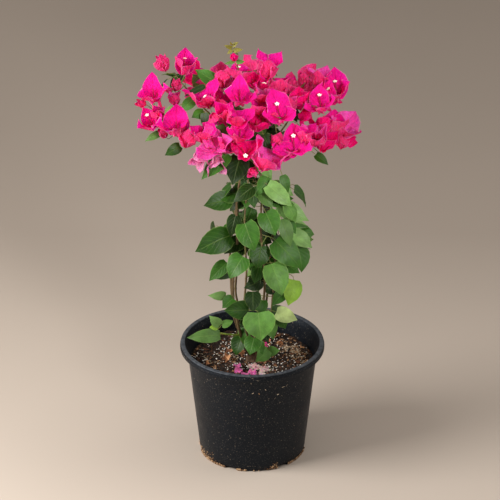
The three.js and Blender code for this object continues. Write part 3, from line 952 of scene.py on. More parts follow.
def grow_bloom(parts, rng, centre, length, opening, shade, stars, way, turn):
    """Adds one bloom: three bracts, each with a tube flower on its midrib, on a thin stalk."""
    bracts, tubes, flowers, pattern, star = parts
    centre, way = np.asarray(centre, float), unit(way)
    foot = centre - way * length * (0.44 - 0.16 * opening)
    side = unit(TO_FRONT - way * np.dot(TO_FRONT, way))
    other = np.cross(way, side)
    slots = {name: i for i, name in enumerate(BRACT_SHADES)}
    # the outer side takes the redder tone of the painted glow of light through the bract
    back = slots[BRACT_BACK_GLOW[shade]]
    third_turn = 2.094
    for k in range(3):
        angle = math.radians(turn) + k * third_turn + rng.uniform(-0.2, 0.2)
        outward = side * math.cos(angle) + other * math.sin(angle)
        start = math.radians(40 + 8 * opening + rng.uniform(-6, 6))
        end = math.radians(-24 + 102 * opening + rng.uniform(-14, 14))
        grow = way * math.cos(start) + outward * math.sin(start)
        inward = way * math.sin(start) - outward * math.cos(start)
        size = length * rng.uniform(0.90, 1.12)
        points = shape_blade(
            pattern,
            bract_outline,
            size,
            size * rng.uniform(0.70, 0.88),
            end - start,
            cup=0.62 - 0.5 * opening + rng.uniform(-0.12, 0.12),
            fold=rng.uniform(0.0, 0.22),
            lobes=0.08,
            wave=rng.uniform(0.12, 0.24),
            twist=rng.uniform(-0.5, 0.5),
            phase=rng.uniform(0, 6.28),
            crumple=rng.uniform(0.03, 0.06),
        )
        sides = np.where(pattern["upper"], slots[shade], back).tolist()
        bracts.add(placed(points, foot, grow, inward), pattern["faces"], sides, pattern["places"])
        if length < 20 * MM:
            continue
        # the flower's tube lies along the lower half of the bract and leans to the middle
        tilt = start * (0.30 + 0.4 * opening)
        aim = way * math.cos(tilt) + outward * math.sin(tilt)
        run = np.linspace(0.12, 0.60 if k < stars else 0.48, 5)[:, None]
        line = foot + aim * run * length + outward * (0.03 * length * np.sin(run * 5))
        swell = np.array([0.7, 0.95, 1.25, 1.0, 1.15]) * MM
        points, faces = tube(line, swell, 5)
        tubes.add(points, faces, 0)
        if k < stars:
            # an open flower turns its face towards the light
            facing = unit(aim + TO_FRONT * 0.7 + rng.normal(0, 0.28, 3))
            points = placed(star["points"] * rng.uniform(0.9, 1.1), line[-1] + aim * 0.8 * MM, side, facing)
            flowers.add(points, star["faces"], star["slots"])
    reach_out(foot, way, 0.75 * MM, 0.55 * MM, 1, sag=0.1)
    Growth.bloom_spots.append(centre)


def star_pattern(width):
    """A true flower's open end: five notched lobes round a raised eye, closed underneath."""
    points, faces, slots = [(0, 0, -0.5 * MM)], [], []
    ring = 20
    for j in range(ring):
        turn = 2 * math.pi * j / ring
        reach = (0.60, 0.92, 1.0, 0.92)[j % 4] * width / 2
        points.append((reach * math.sin(turn), reach * math.cos(turn), 0.9 * MM * reach / (width / 2)))
    eye = len(points)
    for j in range(5):
        turn = 2 * math.pi * j / 5
        points.append((0.17 * width * math.sin(turn), 0.17 * width * math.cos(turn), 0.35 * MM))
    points.append((0, 0, 1.0 * MM))
    for j in range(ring):
        k = (j + 1) % ring
        faces.append((0, 1 + j, 1 + k))
        slots.append(0)
        inner, following = eye + j // 4, eye + (j // 4 + 1) % 5
        faces.append((1 + k, 1 + j, inner))
        slots.append(0)
        if j % 4 == 3:
            faces.append((1 + k, inner, following))
            slots.append(0)
    for j in range(5):
        faces.append((eye + (j + 1) % 5, eye + j, len(points) - 1))
        slots.append(1)
    return {"points": np.array(points), "faces": faces, "slots": slots}


def mass_shape(node):
    """(centre, half sizes) of a mass, in metres."""
    low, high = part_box(node)
    return np.array((low + high) / 2), np.array((high - low) / 2)


# ------------------------------------------------------------------ pot and soil


def inner_radius(height, wall):
    """Radius inside the pot wall at a height."""
    return FOOT_RADIUS + (SHOULDER_RADIUS - FOOT_RADIUS) * height / SHOULDER_HEIGHT - wall


class BUSH_OT_pot(bpy.types.Operator):
    """Build the moulded nursery pot with its rolled lip and drain notches"""

    bl_idname = "bush.pot"
    bl_label = "Nursery pot"

    def execute(self, context):
        settings = context.scene.bush_pot
        rim, top, wall = POT_HIGH.x, POT_HIGH.z, settings.wall
        foot, shoulder, shelf = FOOT_RADIUS, SHOULDER_RADIUS, SHOULDER_HEIGHT
        step = 7 * MM
        step_out = 1.0 * MM
        floor = 3 * MM
        rings = 8
        profile = [
            (foot - 1.6 * MM, 0),
            (foot - 0.5 * MM, 0.5 * MM),
            (foot, 1.7 * MM),
            (foot + 0.1 * MM, step - 0.6 * MM),
            (foot + step_out, step + 0.5 * MM),
        ]
        for i in range(1, rings + 1):
            radius = foot + step_out + (shoulder - foot - step_out) * i / rings
            profile.append((radius, step + (shelf - step) * i / rings))
        profile += [
            (rim - 11.2 * MM, top - 8 * MM),
            (rim - 8.8 * MM, top - 3.6 * MM),
            (rim - 7.4 * MM, top - 3.0 * MM),
            (rim - 2.6 * MM, top - 2.8 * MM),
            (rim - 2.1 * MM, top - 4.0 * MM),
            (rim - 1.9 * MM, top - settings.lip_drop),
            (rim - 1.2 * MM, top - settings.lip_drop - 0.4 * MM),
            (rim - 0.2 * MM, top - settings.lip_drop + 0.3 * MM),
            (rim, top - 8.4 * MM),
            (rim - 0.2 * MM, top - 5.2 * MM),
            (rim - 1.3 * MM, top - 4.4 * MM),
            (rim - 1.4 * MM, top - 3.4 * MM),
            (rim - 1.2 * MM, top - 1.6 * MM),
            (rim - 2.0 * MM, top - 0.4 * MM),
            (rim - 3.2 * MM, top),
            (rim - 8.2 * MM, top - 0.2 * MM),
            (rim - 9.0 * MM, top - 0.8 * MM),
            (rim - 9.8 * MM, top - 3.0 * MM),
            (rim - 12.2 * MM, top - 8 * MM),
            (rim - 14.2 * MM, shelf),
            (inner_radius(shelf * 0.85, wall), shelf * 0.85),
            (inner_radius(shelf * 0.5, wall), shelf * 0.5),
            (inner_radius(floor, wall), floor),
        ]
        pot = turned_wall(profile, settings.sides)
        notches = []
        for i in range(NOTCHES):
            angle = FIRST_NOTCH + i * 2 * math.pi / NOTCHES
            bpy.ops.mesh.primitive_cube_add(size=1, rotation=(0, 0, angle))
            notch = bpy.context.object
            notch.scale = (12 * MM, 20 * MM, 10 * MM)
            notch.location = (foot * math.cos(angle), foot * math.sin(angle), 0)
            bpy.ops.object.transform_apply(location=True, rotation=True, scale=True)
            bpy.ops.object.mode_set(mode="EDIT")
            bpy.ops.mesh.bevel(offset=1.6 * MM, segments=3, affect="EDGES")
            bpy.ops.object.mode_set(mode="OBJECT")
            notches.append(notch)
        cut_away(pot, notches)
        pot.data.materials.append(pot_plastic(settings))
        smooth_by_angle(pot, 24)
        settle(pot, "nursery_pot", "pot", "pot")
        return {"FINISHED"}


def soil_height(x, y):
    """Height of the mix's uneven surface."""
    swell = 0.8 * noise.noise((x * 28, y * 28, 0.3)) + 0.5 * noise.noise((x * 90, y * 90, 2.1))
    calm = smooth_step((math.hypot(x, y) - 14 * MM) / (40 * MM))
    return MIX_LEVEL + (0.35 + 0.65 * calm) * 5.5 * MM * swell


class BUSH_OT_soil(bpy.types.Operator):
    """Build the potting mix with bark chips, perlite and crumbs scattered over it"""

    bl_idname = "bush.soil"
    bl_label = "Potting mix"

    def execute(self, context):
        settings = context.scene.bush_soil
        rng = np.random.default_rng(settings.seed)
        radius = inner_radius(MIX_LEVEL, context.scene.bush_pot.wall) - 0.4 * MM
        skirt = 30 * MM
        skirt_radius = radius - 3.5 * MM
        rings = 46
        fresh_start()
        bpy.ops.mesh.primitive_circle_add(vertices=120, radius=skirt_radius, fill_type="NGON")
        mix_top = bpy.context.object
        bpy.ops.object.mode_set(mode="EDIT")
        bpy.ops.transform.translate(value=(0, 0, MIX_LEVEL - skirt))
        bpy.ops.mesh.select_all(action="SELECT")
        bpy.ops.mesh.extrude_region_move(TRANSFORM_OT_translate={"value": (0, 0, skirt)})
        growth = radius / skirt_radius
        bpy.ops.transform.resize(value=(growth, growth, 1), center_override=(0, 0, MIX_LEVEL))
        for _ in range(rings):
            bpy.ops.mesh.inset(thickness=radius / (rings + 1.5))
        bpy.ops.mesh.select_all(action="SELECT")
        bpy.ops.mesh.normals_make_consistent(inside=False)
        bpy.ops.object.mode_set(mode="OBJECT")
        for vertex in mix_top.data.vertices:
            x, y, z = vertex.co
            if z > MIX_LEVEL - skirt / 2:
                vertex.co.z = soil_height(x, y) + 1.6 * MM * noise.noise((x * 260, y * 260, 4.0))
        mix_top.data.materials.append(potting_mix(settings))
        bpy.ops.object.shade_smooth()
        settle(mix_top, "potting_mix", "soil", "soil")

        stones = [self.rough_stone(rng) for _ in range(5)]
        # piece, count, sizes (mm), least width and usual height as shares of the length, and tones
        scatter = (
            ("bark_chips", settings.chips, (2.0, 5.0), (0.35, 0.3), 3),
            ("soil_crumbs", settings.crumbs, (0.7, 2.1), (0.8, 0.7), 2),
            ("perlite_grains", settings.grains, (0.7, 1.9), (0.85, 0.8), 1),
        )
        for name, count, sizes, flatness, tones in scatter:
            joined = Gathering()
            clumps = rng.uniform(-88, 88, (14, 2)) * MM if name == "perlite_grains" else None
            for _ in range(count):
                self.drop_stone(joined, rng, stones, radius, sizes, flatness, tones, clumps)
            if name == "bark_chips":
                self.drop_fibres(joined, rng, stones)
            piece = joined.build(name, self.scatter_finishes(name, settings), angle=25)
            settle(piece, name, "soil")
        self.cake_foot(rng, stones, settings)
        return {"FINISHED"}

    @staticmethod
    def drop_fibres(joined, rng, stones):
        """Heaps of pale dry fibre and leaf litter on the mix."""
        # the middle of each heap, its spread (mm) and its count
        heaps = (
            (80, 22, 26, 130),
            (64, 44, 20, 60),
            (-40, 6, 16, 50),
            (96, -12, 14, 40),
            (30, -84, 40, 80),
            (-80, -10, 30, 40),
        )
        for x, y, spread, count in heaps:
            for _ in range(count):
                points, faces = stones[rng.integers(len(stones))]
                sizes = (rng.uniform(1.6, 4.4), rng.uniform(0.5, 1.1), rng.uniform(0.3, 0.6))
                shaped = points * np.array(sizes) * MM
                spot_x, spot_y = rng.normal((x, y), spread / 2) * MM
                spin = rng.uniform(0, 6.28)
                facing = unit((rng.uniform(-0.5, 0.5), rng.uniform(-0.5, 0.5), 1))
                spot = (spot_x, spot_y, soil_height(spot_x, spot_y) + 1.2 * MM)
                way = (math.cos(spin), math.sin(spin), rng.uniform(-0.3, 0.3))
                joined.add(placed(shaped[:, [1, 0, 2]], spot, way, facing), faces, int(rng.integers(2, 4)))

    @staticmethod
    def cake_foot(rng, stones, settings):
        """Dry crumbs stuck to the pot round its foot, thickest at the left and the right of the front."""
        joined = Gathering()
        slope = 0.115
        # each patch's place round the pot and its spread, in degrees; the first three reach higher
        patches = ((-158, 16), (-176, 12), (-56, 4), (-36, 14), (-130, 16), (90, 80))
        for i in range(settings.caked):
            middle, spread = patches[i % len(patches)]
            angle = math.radians(rng.normal(middle, spread) // 3 * 3 + rng.normal(0, 1.1))
            between = 2 * math.pi / NOTCHES
            from_notch = (angle - FIRST_NOTCH + between / 2) % between - between / 2
            if abs(from_notch) < math.radians(7.5):
                continue
            rise = abs(rng.normal(0, 7.5 if i % len(patches) < 3 else 1.3)) * MM + 0.6 * MM
            points, faces = stones[rng.integers(len(stones))]
            size = rng.uniform(0.7, 2.5) * MM * (1 - min(rise, 16 * MM) / (30 * MM))
            out = np.array((math.cos(angle), math.sin(angle), 0))
            # no crumb reaches below the pot's underside
            rise = max(rise, size * 1.3)
            spot = (FOOT_RADIUS + rise * slope + size * 0.25) * out + np.array((0, 0, rise))
            spin = unit(rng.normal(0, 1, 3))
            shaped = placed(points * size * (1, 1, 0.7), spot, spin, out + spin * 0.1)
            joined.add(shaped, faces, int(rng.integers(2)))
        cake = [
            bark_piece("dried_peat_cake", "#4A3524", "#8A6649"),
            bark_piece("dried_clay_cake", "#8A6A4C", "#D2B08A"),
        ]
        settle(joined.build("caked_crumbs", cake, angle=25), "caked_crumbs", "soil")

    @staticmethod
    def rough_stone(rng):
        """A lump of twenty faces, modelled from a small ball."""
        fresh_start()
        bpy.ops.mesh.primitive_ico_sphere_add(subdivisions=1, radius=1)
        stone = bpy.context.object
        bpy.ops.object.mode_set(mode="EDIT")
        bpy.ops.mesh.select_all(action="SELECT")
        bpy.ops.transform.vertex_random(offset=0.35, seed=int(rng.integers(1000)))
        bpy.ops.object.mode_set(mode="OBJECT")
        points = np.array([tuple(v.co) for v in stone.data.vertices])
        faces = [tuple(p.vertices) for p in stone.data.polygons]
        bpy.data.objects.remove(stone)
        return points, faces

    @staticmethod
    def drop_stone(joined, rng, stones, radius, sizes, flatness, tones, clumps):
        """Drops one lump of that size range (mm) on the mix, lying nearly flat."""
        share_in_clumps, clump_spread = 0.55, 16 * MM
        points, faces = stones[rng.integers(len(stones))]
        size = rng.uniform(*sizes) * MM
        away = (radius - size - 1 * MM) * math.sqrt(rng.uniform(0.01, 1))
        turn = rng.uniform(0, 2 * math.pi)
        x, y = away * math.cos(turn), away * math.sin(turn)
        if clumps is not None and rng.uniform() < share_in_clumps:
            x, y = clumps[rng.integers(len(clumps))] + rng.normal(0, clump_spread, 2)
            if math.hypot(x, y) > radius - 2 * MM:
                return
        widths = np.array([1, rng.uniform(flatness[0], 0.95), flatness[1] * rng.uniform(0.8, 1.2)])
        facing = unit((rng.uniform(-0.5, 0.5), rng.uniform(-0.5, 0.5), 1))
        spin = rng.uniform(0, 6.28)
        spot = (x, y, soil_height(x, y) + size * 0.25)
        shaped = placed(points * size * widths, spot, (math.cos(spin), math.sin(spin), 0), facing)
        joined.add(shaped, faces, int(rng.integers(tones)))

    @staticmethod
    def scatter_finishes(name, settings):
        """The finishes of one kind of scattered piece, one for each of its tones."""
        if name == "bark_chips":
            return [
                bark_piece("pine_bark_dark", "#120A06", "#342014"),
                bark_piece("pine_bark_brown", "#462818", "#7E4C30"),
                bark_piece("pine_bark_tan", "#7C5436", "#C0946A"),
                bark_piece("dry_fibre", "#A8927A", "#E6D6BA"),
            ]
        if name == "perlite_grains":
            return [perlite(settings)]
        return [
            bark_piece("peat_crumb", "#0C0704", "#24160E"),
            bark_piece("fibre_crumb", "#34210F", "#6C4A30"),
        ]


# ------------------------------------------------------------------ stump, canes and boughs


def knobbly(seed, relief):
    """A bark relief: long ridges round a cane and a swelling at each leaf joint."""

    def height(ring, turn):
        ridge = noise.noise((math.cos(turn) * 1.6 + seed, math.sin(turn) * 1.6, ring * 0.11))
        joint = max(0.0, math.cos(2 * math.pi * (ring / 8.6 + seed * 0.37))) ** 24
        return relief * (ridge * 1.6 + joint * 2.2)

    return height


class BUSH_OT_wood(bpy.types.Operator):
    """Build the stump, canes and boughs with the relief of their bark"""

    bl_idname = "bush.wood"
    bl_label = "Stump, canes and boughs"

    def execute(self, context):
        settings = context.scene.bush_wood
        Growth.wood = Wood()
        Growth.twigs = Gathering()
        Growth.bloom_spots = []
        self.stump(settings)
        old = cane_bark("woody_cane_bark", settings, 0.18)
        young = cane_bark("young_bough_bark", settings, 0.55)
        green = soft_skin("green_shoot_skin", "#7E9A34", "#A3BC4C", 0.5, feature=6 * MM)
        boughs = [node for node in BOUGH_NODES if node != "bough_side_shoot"]
        self.limbs("canes", "stem", STEM_NODES, 12 * MM, old, settings)
        self.limbs("boughs", "bough", boughs, 3 * MM, young, settings)
        self.limbs("side_shoot", "bough", ["bough_side_shoot"], 3 * MM, green, settings)
        return {"FINISHED"}

    @staticmethod
    def stump(settings):
        """A short knobbly stump, flared into root lobes where it meets the mix."""
        height = STUMP_HIGH.z - STUMP_LOW.z
        fresh_start()
        bpy.ops.mesh.primitive_cylinder_add(
            vertices=40, radius=1, depth=height, location=(0, 0, STUMP_LOW.z + height / 2)
        )
        stump = bpy.context.object
        bpy.ops.object.transform_apply(location=True)
        bpy.ops.object.mode_set(mode="EDIT")
        bpy.ops.mesh.select_mode(type="EDGE")
        bpy.ops.mesh.select_all(action="DESELECT")
        sheet = bmesh.from_edit_mesh(stump.data)
        for edge in sheet.edges:
            edge.select = abs(edge.verts[0].co.z - edge.verts[1].co.z) > height / 2
        bmesh.update_edit_mesh(stump.data)
        bpy.ops.mesh.subdivide(number_cuts=18, quadcorner="INNERVERT")
        bpy.ops.object.mode_set(mode="OBJECT")
        for vertex in stump.data.vertices:
            x, y, z = vertex.co
            share = (z - STUMP_LOW.z) / height
            turn = math.atan2(y, x)
            lobe = 0.75 + 0.25 * math.cos(5 * turn)
            radius = 8.6 * MM + 6.0 * MM * lobe * (1 - share) ** 3 - 1.2 * MM * share * share
            radius += 1.1 * MM * noise.noise((math.cos(turn) * 1.5, math.sin(turn) * 1.5, share * 3))
            radius += 0.5 * MM * noise.noise((math.cos(turn) * 6, math.sin(turn) * 6, share * 5))
            vertex.co = (math.cos(turn) * radius, math.sin(turn) * radius, z)
        stump.data.materials.append(cane_bark("woody_stump_bark", settings, 0.05))
        smooth_by_angle(stump, 60)
        settle(stump, "stump_bark", "root_crown", "root_crown")

    @staticmethod
    def limbs(name, slot, nodes, away, finish, settings):
        """One joined mesh for like limbs, each along its solid's middle line."""
        into_cane = 1.6 * MM
        joined = Gathering()
        for i, node in enumerate(nodes):
            rings, widths = limb_line(node, away)
            if slot == "bough":
                # a bough's foot goes a little way into its cane
                rings[0] += (rings[0] - rings[1]) / np.linalg.norm(rings[0] - rings[1]) * into_cane
            line = curve_through(rings, settings.ring)
            radii = np.interp(np.linspace(0, 1, len(line)), [0, 1], [max(widths[:2]), widths[-1]])
            if slot == "bough":
                radii = np.linspace(1.95 * MM, 1.15 * MM, len(line))
            points, faces = tube(line, radii, settings.sides, knobbly(settings.seed + i, settings.relief))
            joined.add(points, faces, 0)
            Growth.wood.record(line)
        settle(joined.build(name, [finish], angle=70), name + "_bark", slot, *nodes)


# ------------------------------------------------------------------ blossom and foliage


class BUSH_OT_blossom(bpy.types.Operator):
    """Grow the blooms: papery bracts round small white flowers, on twigs from the boughs"""

    bl_idname = "bush.blossom"
    bl_label = "Blossom"

    def execute(self, context):
        settings = context.scene.bush_blossom
        rng = np.random.default_rng(settings.seed)
        for node in sorted(HEAD_NODES, key=lambda n: np.linalg.norm(mass_shape(n)[0][:2])):
            centre = mass_shape(node)[0]
            way = unit(centre - Growth.wood.nearest(centre)) + (0, 0, 0.4)
            reach_out(centre, way, 1.25 * MM, 0.85 * MM, 0, sag=0.12, record=True)
        patterns = (blade_pattern("bract", 9, 6), star_pattern(settings.star))
        parts = (Gathering(), Gathering(), Gathering(), *patterns)
        for centre, length, opening, shade, stars, lean, toward, turn in FRONT_BLOOMS:
            way = bloom_axis(lean, toward)
            grow_bloom(parts, rng, np.array(centre) * MM, length * MM, opening, shade, stars, way, turn)
        self.fill(parts, rng, settings)
        bracts, tubes, flowers = parts[:3]
        finishes = [bract_paper("bract_" + n, c, self.vein_of(c)) for n, c in BRACT_SHADES.items()]
        piece = bracts.build("bracts", finishes, angle=60)
        settle(piece, "bracts", "blossom", *[node for node in HEAD_NODES if node not in LEAFY_HEAD_NODES])
        tube_skin = soft_skin("flower_tube", settings.tube_colour, "#B02A50", 0.6)
        settle(tubes.build("flower_tubes", [tube_skin]), "flower_tubes", "blossom")
        petal = soft_skin("flower_star", settings.star_colour, "#FFFFFF", 0.6)
        eye = soft_skin("flower_eye", "#F2E2A0", "#FBF0C4", 0.6)
        settle(flowers.build("flower_stars", [petal, eye], angle=40), "flower_stars", "blossom")
        return {"FINISHED"}

    @staticmethod
    def outward(spot, rng):
        """The way a bloom looks: away from the middle of the head's foot, a little at random."""
        return unit(unit(spot - np.array((0, 10 * MM, 640 * MM))) + rng.normal(0, 0.2, 3))

    @staticmethod
    def vein_of(colour):
        """A deeper tone of a bract's colour for its veins."""
        parts = [int(colour[i : i + 2], 16) for i in (1, 3, 5)]
        return "#%02X%02X%02X" % tuple(int(p * 0.76) for p in parts)

    def fill(self, parts, rng, settings):
        """Blooms over the back and far side of each mass, never closer than two blooms can be."""
        tries = 300
        for node in HEAD_NODES:
            centre, half = mass_shape(node)
            if node in LEAFY_HEAD_NODES or node == "crown_upper_left":
                continue
            for _ in range(tries):
                way = unit(rng.normal(0, 1, 3))
                spot = centre + way * half * rng.uniform(0.35, 0.75)
                outside = self.outward(spot, rng)
                # it is on the outer side of its mass, and not among the blooms in front
                if np.dot(way, outside) < -0.4 or spot[1] < -60 * MM:
                    continue
                # the listed blooms make the front, so these stand behind them, closest where it is open
                gaps = np.linalg.norm(np.array(Growth.bloom_spots) - spot, axis=1)
                behind = (28 if spot[1] > 80 * MM else 9 if spot[0] < -95 * MM else 19) * MM
                if gaps.min() < settings.apart or off_screen(spot, LISTED_BLOOMS) > behind:
                    continue
                if off_screen(spot + outside * 24 * MM, LISTED_BLOOMS) > 26 * MM:
                    continue
                shade = ("magenta", "magenta", "rose", "coral", "crimson")[rng.integers(5)]
                length = settings.length * rng.uniform(0.85, 1.2)
                opening = rng.uniform(0.15, 0.8)
                stars = int(rng.integers(0, 3)) if opening > 0.4 else 0
                grow_bloom(parts, rng, spot, length, opening, shade, stars, outside, rng.uniform(0, 120))


# What has dropped on the mix: place, length and width (mm), the way it points, and its kind.
FALLEN = (
    ((-18, -50), 18, 16, 200, "pink"),
    ((-25, -45), 17, 15, 120, "pink"),
    ((-8, -55), 18, 16, 330, "pink"),
    ((-14, -60), 19, 16, 270, "pink"),
    ((-2, -61), 17, 15, 30, "pink"),
    ((6, -44), 19, 17, 70, "faded"),
    ((14, -51), 20, 17, 20, "faded"),
    ((22, -56), 18, 15, 250, "faded"),
    ((10, -59), 19, 16, 190, "faded"),
    ((1, -39), 17, 15, 110, "faded"),
    ((17, -43), 17, 14, 140, "faded"),
    ((25, -47), 16, 14, 60, "faded"),
    ((30, 40), 19, 16, 190, "bright"),
    ((-40, 18), 28, 15, 110, "dry"),
    ((-32, 10), 26, 14, 20, "dry"),
    ((-44, 4), 22, 13, 250, "dry"),
    ((-30, 30), 20, 12, 80, "dry"),
    ((40, 74), 29, 14, 60, "dry"),
    ((34, 60), 22, 12, 150, "dry"),
    ((46, 52), 20, 11, 10, "dry"),
    ((-86, -20), 18, 9, 40, "dry"),
)


class BUSH_OT_litter(bpy.types.Operator):
    """Drop a few faded bracts and dry leaves on the mix"""

    bl_idname = "bush.litter"
    bl_label = "Fallen bracts and leaves"

    def execute(self, context):
        rng = np.random.default_rng(context.scene.bush_blossom.seed + 1)
        pattern = blade_pattern("fallen", 8, 4)
        bracts, leaves = Gathering(), Gathering()
        kinds = ("pink", "faded", "bright")
        for (x, y), length, width, angle, kind in FALLEN:
            x, y = x * MM, y * MM
            turn = math.radians(angle)
            way = np.array((math.cos(turn), math.sin(turn), rng.uniform(0.15, 0.5)))
            facing = unit((rng.uniform(-0.4, 0.4), rng.uniform(-0.6, 0.1), 1))
            dry = kind == "dry"
            points = shape_blade(
                pattern,
                leaf_outline if dry else bract_outline,
                length * MM,
                width * MM,
                rng.uniform(1.2, 2.6) if dry else rng.uniform(0.5, 1.4),
                cup=rng.uniform(0.5, 1.1) if dry else 0.2,
                wave=0.16 if dry else 0.26,
                twist=rng.uniform(-1.2, 1.2) if dry else rng.uniform(-0.8, 0.8),
                phase=rng.uniform(0, 6.28),
                crumple=0.07,
            )
            points = placed(points, (x, y, soil_height(x, y) + 5 * MM), way, facing)
            if dry:
                leaves.add(points, pattern["faces"], 0, pattern["places"])
            else:
                bracts.add(points, pattern["faces"], kinds.index(kind), pattern["places"])
        papers = [
            bract_paper("fallen_bract_pink", "#FF74B4", "#E85098"),
            bract_paper("fallen_bract_faded", "#FFC8C8", "#F4A4B0"),
            bract_paper("fallen_bract_bright", "#FF2C8E", "#D01870"),
        ]
        settle(bracts.build("fallen_bracts", papers, angle=60), "fallen_bracts", "blossom")
        crisp = soft_skin("dry_leaf", "#8A4A28", "#E0A878", 0.75, feature=5 * MM)
        settle(leaves.build("dry_leaves", [crisp], angle=50), "dry_leaves", "foliage")
        return {"FINISHED"}


class BUSH_OT_foliage(bpy.types.Operator):
    """Grow the leaves on stalks and side twigs from the canes and boughs"""

    bl_idname = "bush.foliage"
    bl_label = "Foliage"

    def execute(self, context):
        settings = context.scene.bush_leaves
        rng = np.random.default_rng(settings.seed)
        pattern = blade_pattern("leaf", 8, 4)
        leaves = Gathering()
        for foot, tip, width, shade in FRONT_LEAVES:
            outward = unit((foot[0] + tip[0], foot[1] + tip[1], 0))
            facing = outward * 0.45 + np.array((0, -0.70, 0.52)) + rng.normal(0, 0.10, 3)
            foot, tip = np.array(foot) * MM, np.array(tip) * MM
            grow_leaf(leaves, pattern, rng, foot, tip, width * MM, shade, facing)
        self.column(leaves, pattern, rng, settings)
        self.head(leaves, pattern, rng, settings)
        finishes = [leaf_blade("leaf_" + name, colour) for name, colour in LEAF_SHADES.items()]
        finishes.append(leaf_underside())
        piece = leaves.build("leaves", finishes, angle=60)
        settle(piece, "leaves", "foliage", *LEAFY_HEAD_NODES, *COLUMN_NODES)
        wood = context.scene.bush_wood
        twigs = [cane_bark("twig_bark", wood, 0.35), cane_bark("green_stalk", wood, 0.85)]
        settle(Growth.twigs.build("twigs", twigs, angle=80), "twigs", "bough")
        return {"FINISHED"}

    @staticmethod
    def column(leaves, pattern, rng, settings):
        """Leaves round the sides and back of the leafy column, hanging out and down, and ones inside it among
        the canes, darker with painted shade."""
        for node in COLUMN_NODES:
            centre, half = mass_shape(node)
            side_twig = unit((centre[0], centre[1], 0.02))
            reach_out(centre * (0.8, 0.8, 1), side_twig, 1.1 * MM, 0.8 * MM, 0, sag=-0.1, record=True)
            if node in ("leaves_side_shoot", "leaves_foot"):
                continue
            for _ in range(settings.column_leaves):
                place = unit(rng.normal(0, 1, 3)) * half * rng.uniform(0.3, 0.62)
                foot = centre + place
                outward = unit((foot[0], foot[1], 0))
                if outward[1] < -0.7:
                    continue
                length = settings.length * rng.uniform(0.75, 1.2)
                way = unit(outward * 0.85 + rng.normal(0, 0.4, 3) + np.array((0, 0, -0.55)))
                shade = ("deep", "mid", "mid", "fresh", "shade", "pale")[rng.integers(6)]
                facing = outward * 0.65 + np.array((0, 0, 0.65)) + rng.normal(0, 0.18, 3)
                tip = foot + way * length
                # the listed leaves draw the column's left side, so few others may show beside them
                beside = (9 if foot[0] < -18 * MM and foot[1] < 20 * MM else 30) * MM
                if within(tip, centre, half) and off_screen(tip, LISTED_LEAVES) < beside:
                    grow_leaf(leaves, pattern, rng, foot, tip, length * rng.uniform(0.68, 0.9), shade, facing)
            for _ in range(settings.inner_leaves):
                turn = rng.uniform(0, 2 * math.pi)
                outward = np.array((math.cos(turn), math.sin(turn), 0))
                foot = outward * rng.uniform(4, 24) * MM
                foot[2] = centre[2] + rng.uniform(-1, 1) * half[2]
                length = settings.length * rng.uniform(0.6, 0.95)
                tip = foot + unit(outward * 0.7 + np.array((0, 0, -0.7)) + rng.normal(0, 0.25, 3)) * length
                # the canes stay in view low down on the left
                if tip[1] < -46 * MM or (foot[0] < 6 * MM and 285 * MM < foot[2] < 372 * MM):
                    continue
                # painted shade: the leaves inside the column mostly take the darkest tones
                shade = ("deep", "shade", "mid", "shade")[rng.integers(4)]
                facing = np.array((0, -0.5, 0.6)) + outward * 0.4 + rng.normal(0, 0.2, 3)
                grow_leaf(leaves, pattern, rng, foot, tip, length * rng.uniform(0.68, 0.85), shade, facing)

    @staticmethod
    def head(leaves, pattern, rng, settings):
        """Leaves inside and under the blossom, clear of the blooms."""
        blooms = np.array(Growth.bloom_spots)
        for node in HEAD_NODES:
            centre, half = mass_shape(node)
            if node == "crown_top_shoot":
                # its few small leaves are all listed
                continue
            count = settings.head_leaves * (3 if node == "crown_heart" else 1)
            for _ in range(count):
                place = unit(rng.normal(0, 1, 3)) * half * rng.uniform(0.2, 0.6)
                foot = centre + place - np.array((0, 0, 10 * MM))
                outward = unit((foot[0], foot[1], 0))
                length = settings.length * rng.uniform(0.6, 0.95)
                way = unit(outward * 0.5 + rng.normal(0, 0.45, 3) + np.array((0, 0, -0.45)))
                shade = ("deep", "mid", "shade", "fresh", "grey")[rng.integers(5)]
                facing = outward * 0.4 + np.array((0, 0, 0.8)) + rng.normal(0, 0.25, 3)
                tip = foot + way * length
                spine = foot + way * length * np.linspace(0, 1, 4)[:, None]
                nearest = np.linalg.norm(blooms[:, None] - spine, axis=2).min()
                if nearest < 27 * MM or not within(tip, centre, half):
                    continue
                if off_screen(tip, np.vstack([LISTED_BLOOMS, LISTED_LEAVES])) > 24 * MM:
                    continue
                grow_leaf(leaves, pattern, rng, foot, tip, length * rng.uniform(0.6, 0.8), shade, facing)


# ------------------------------------------------------------------ stage


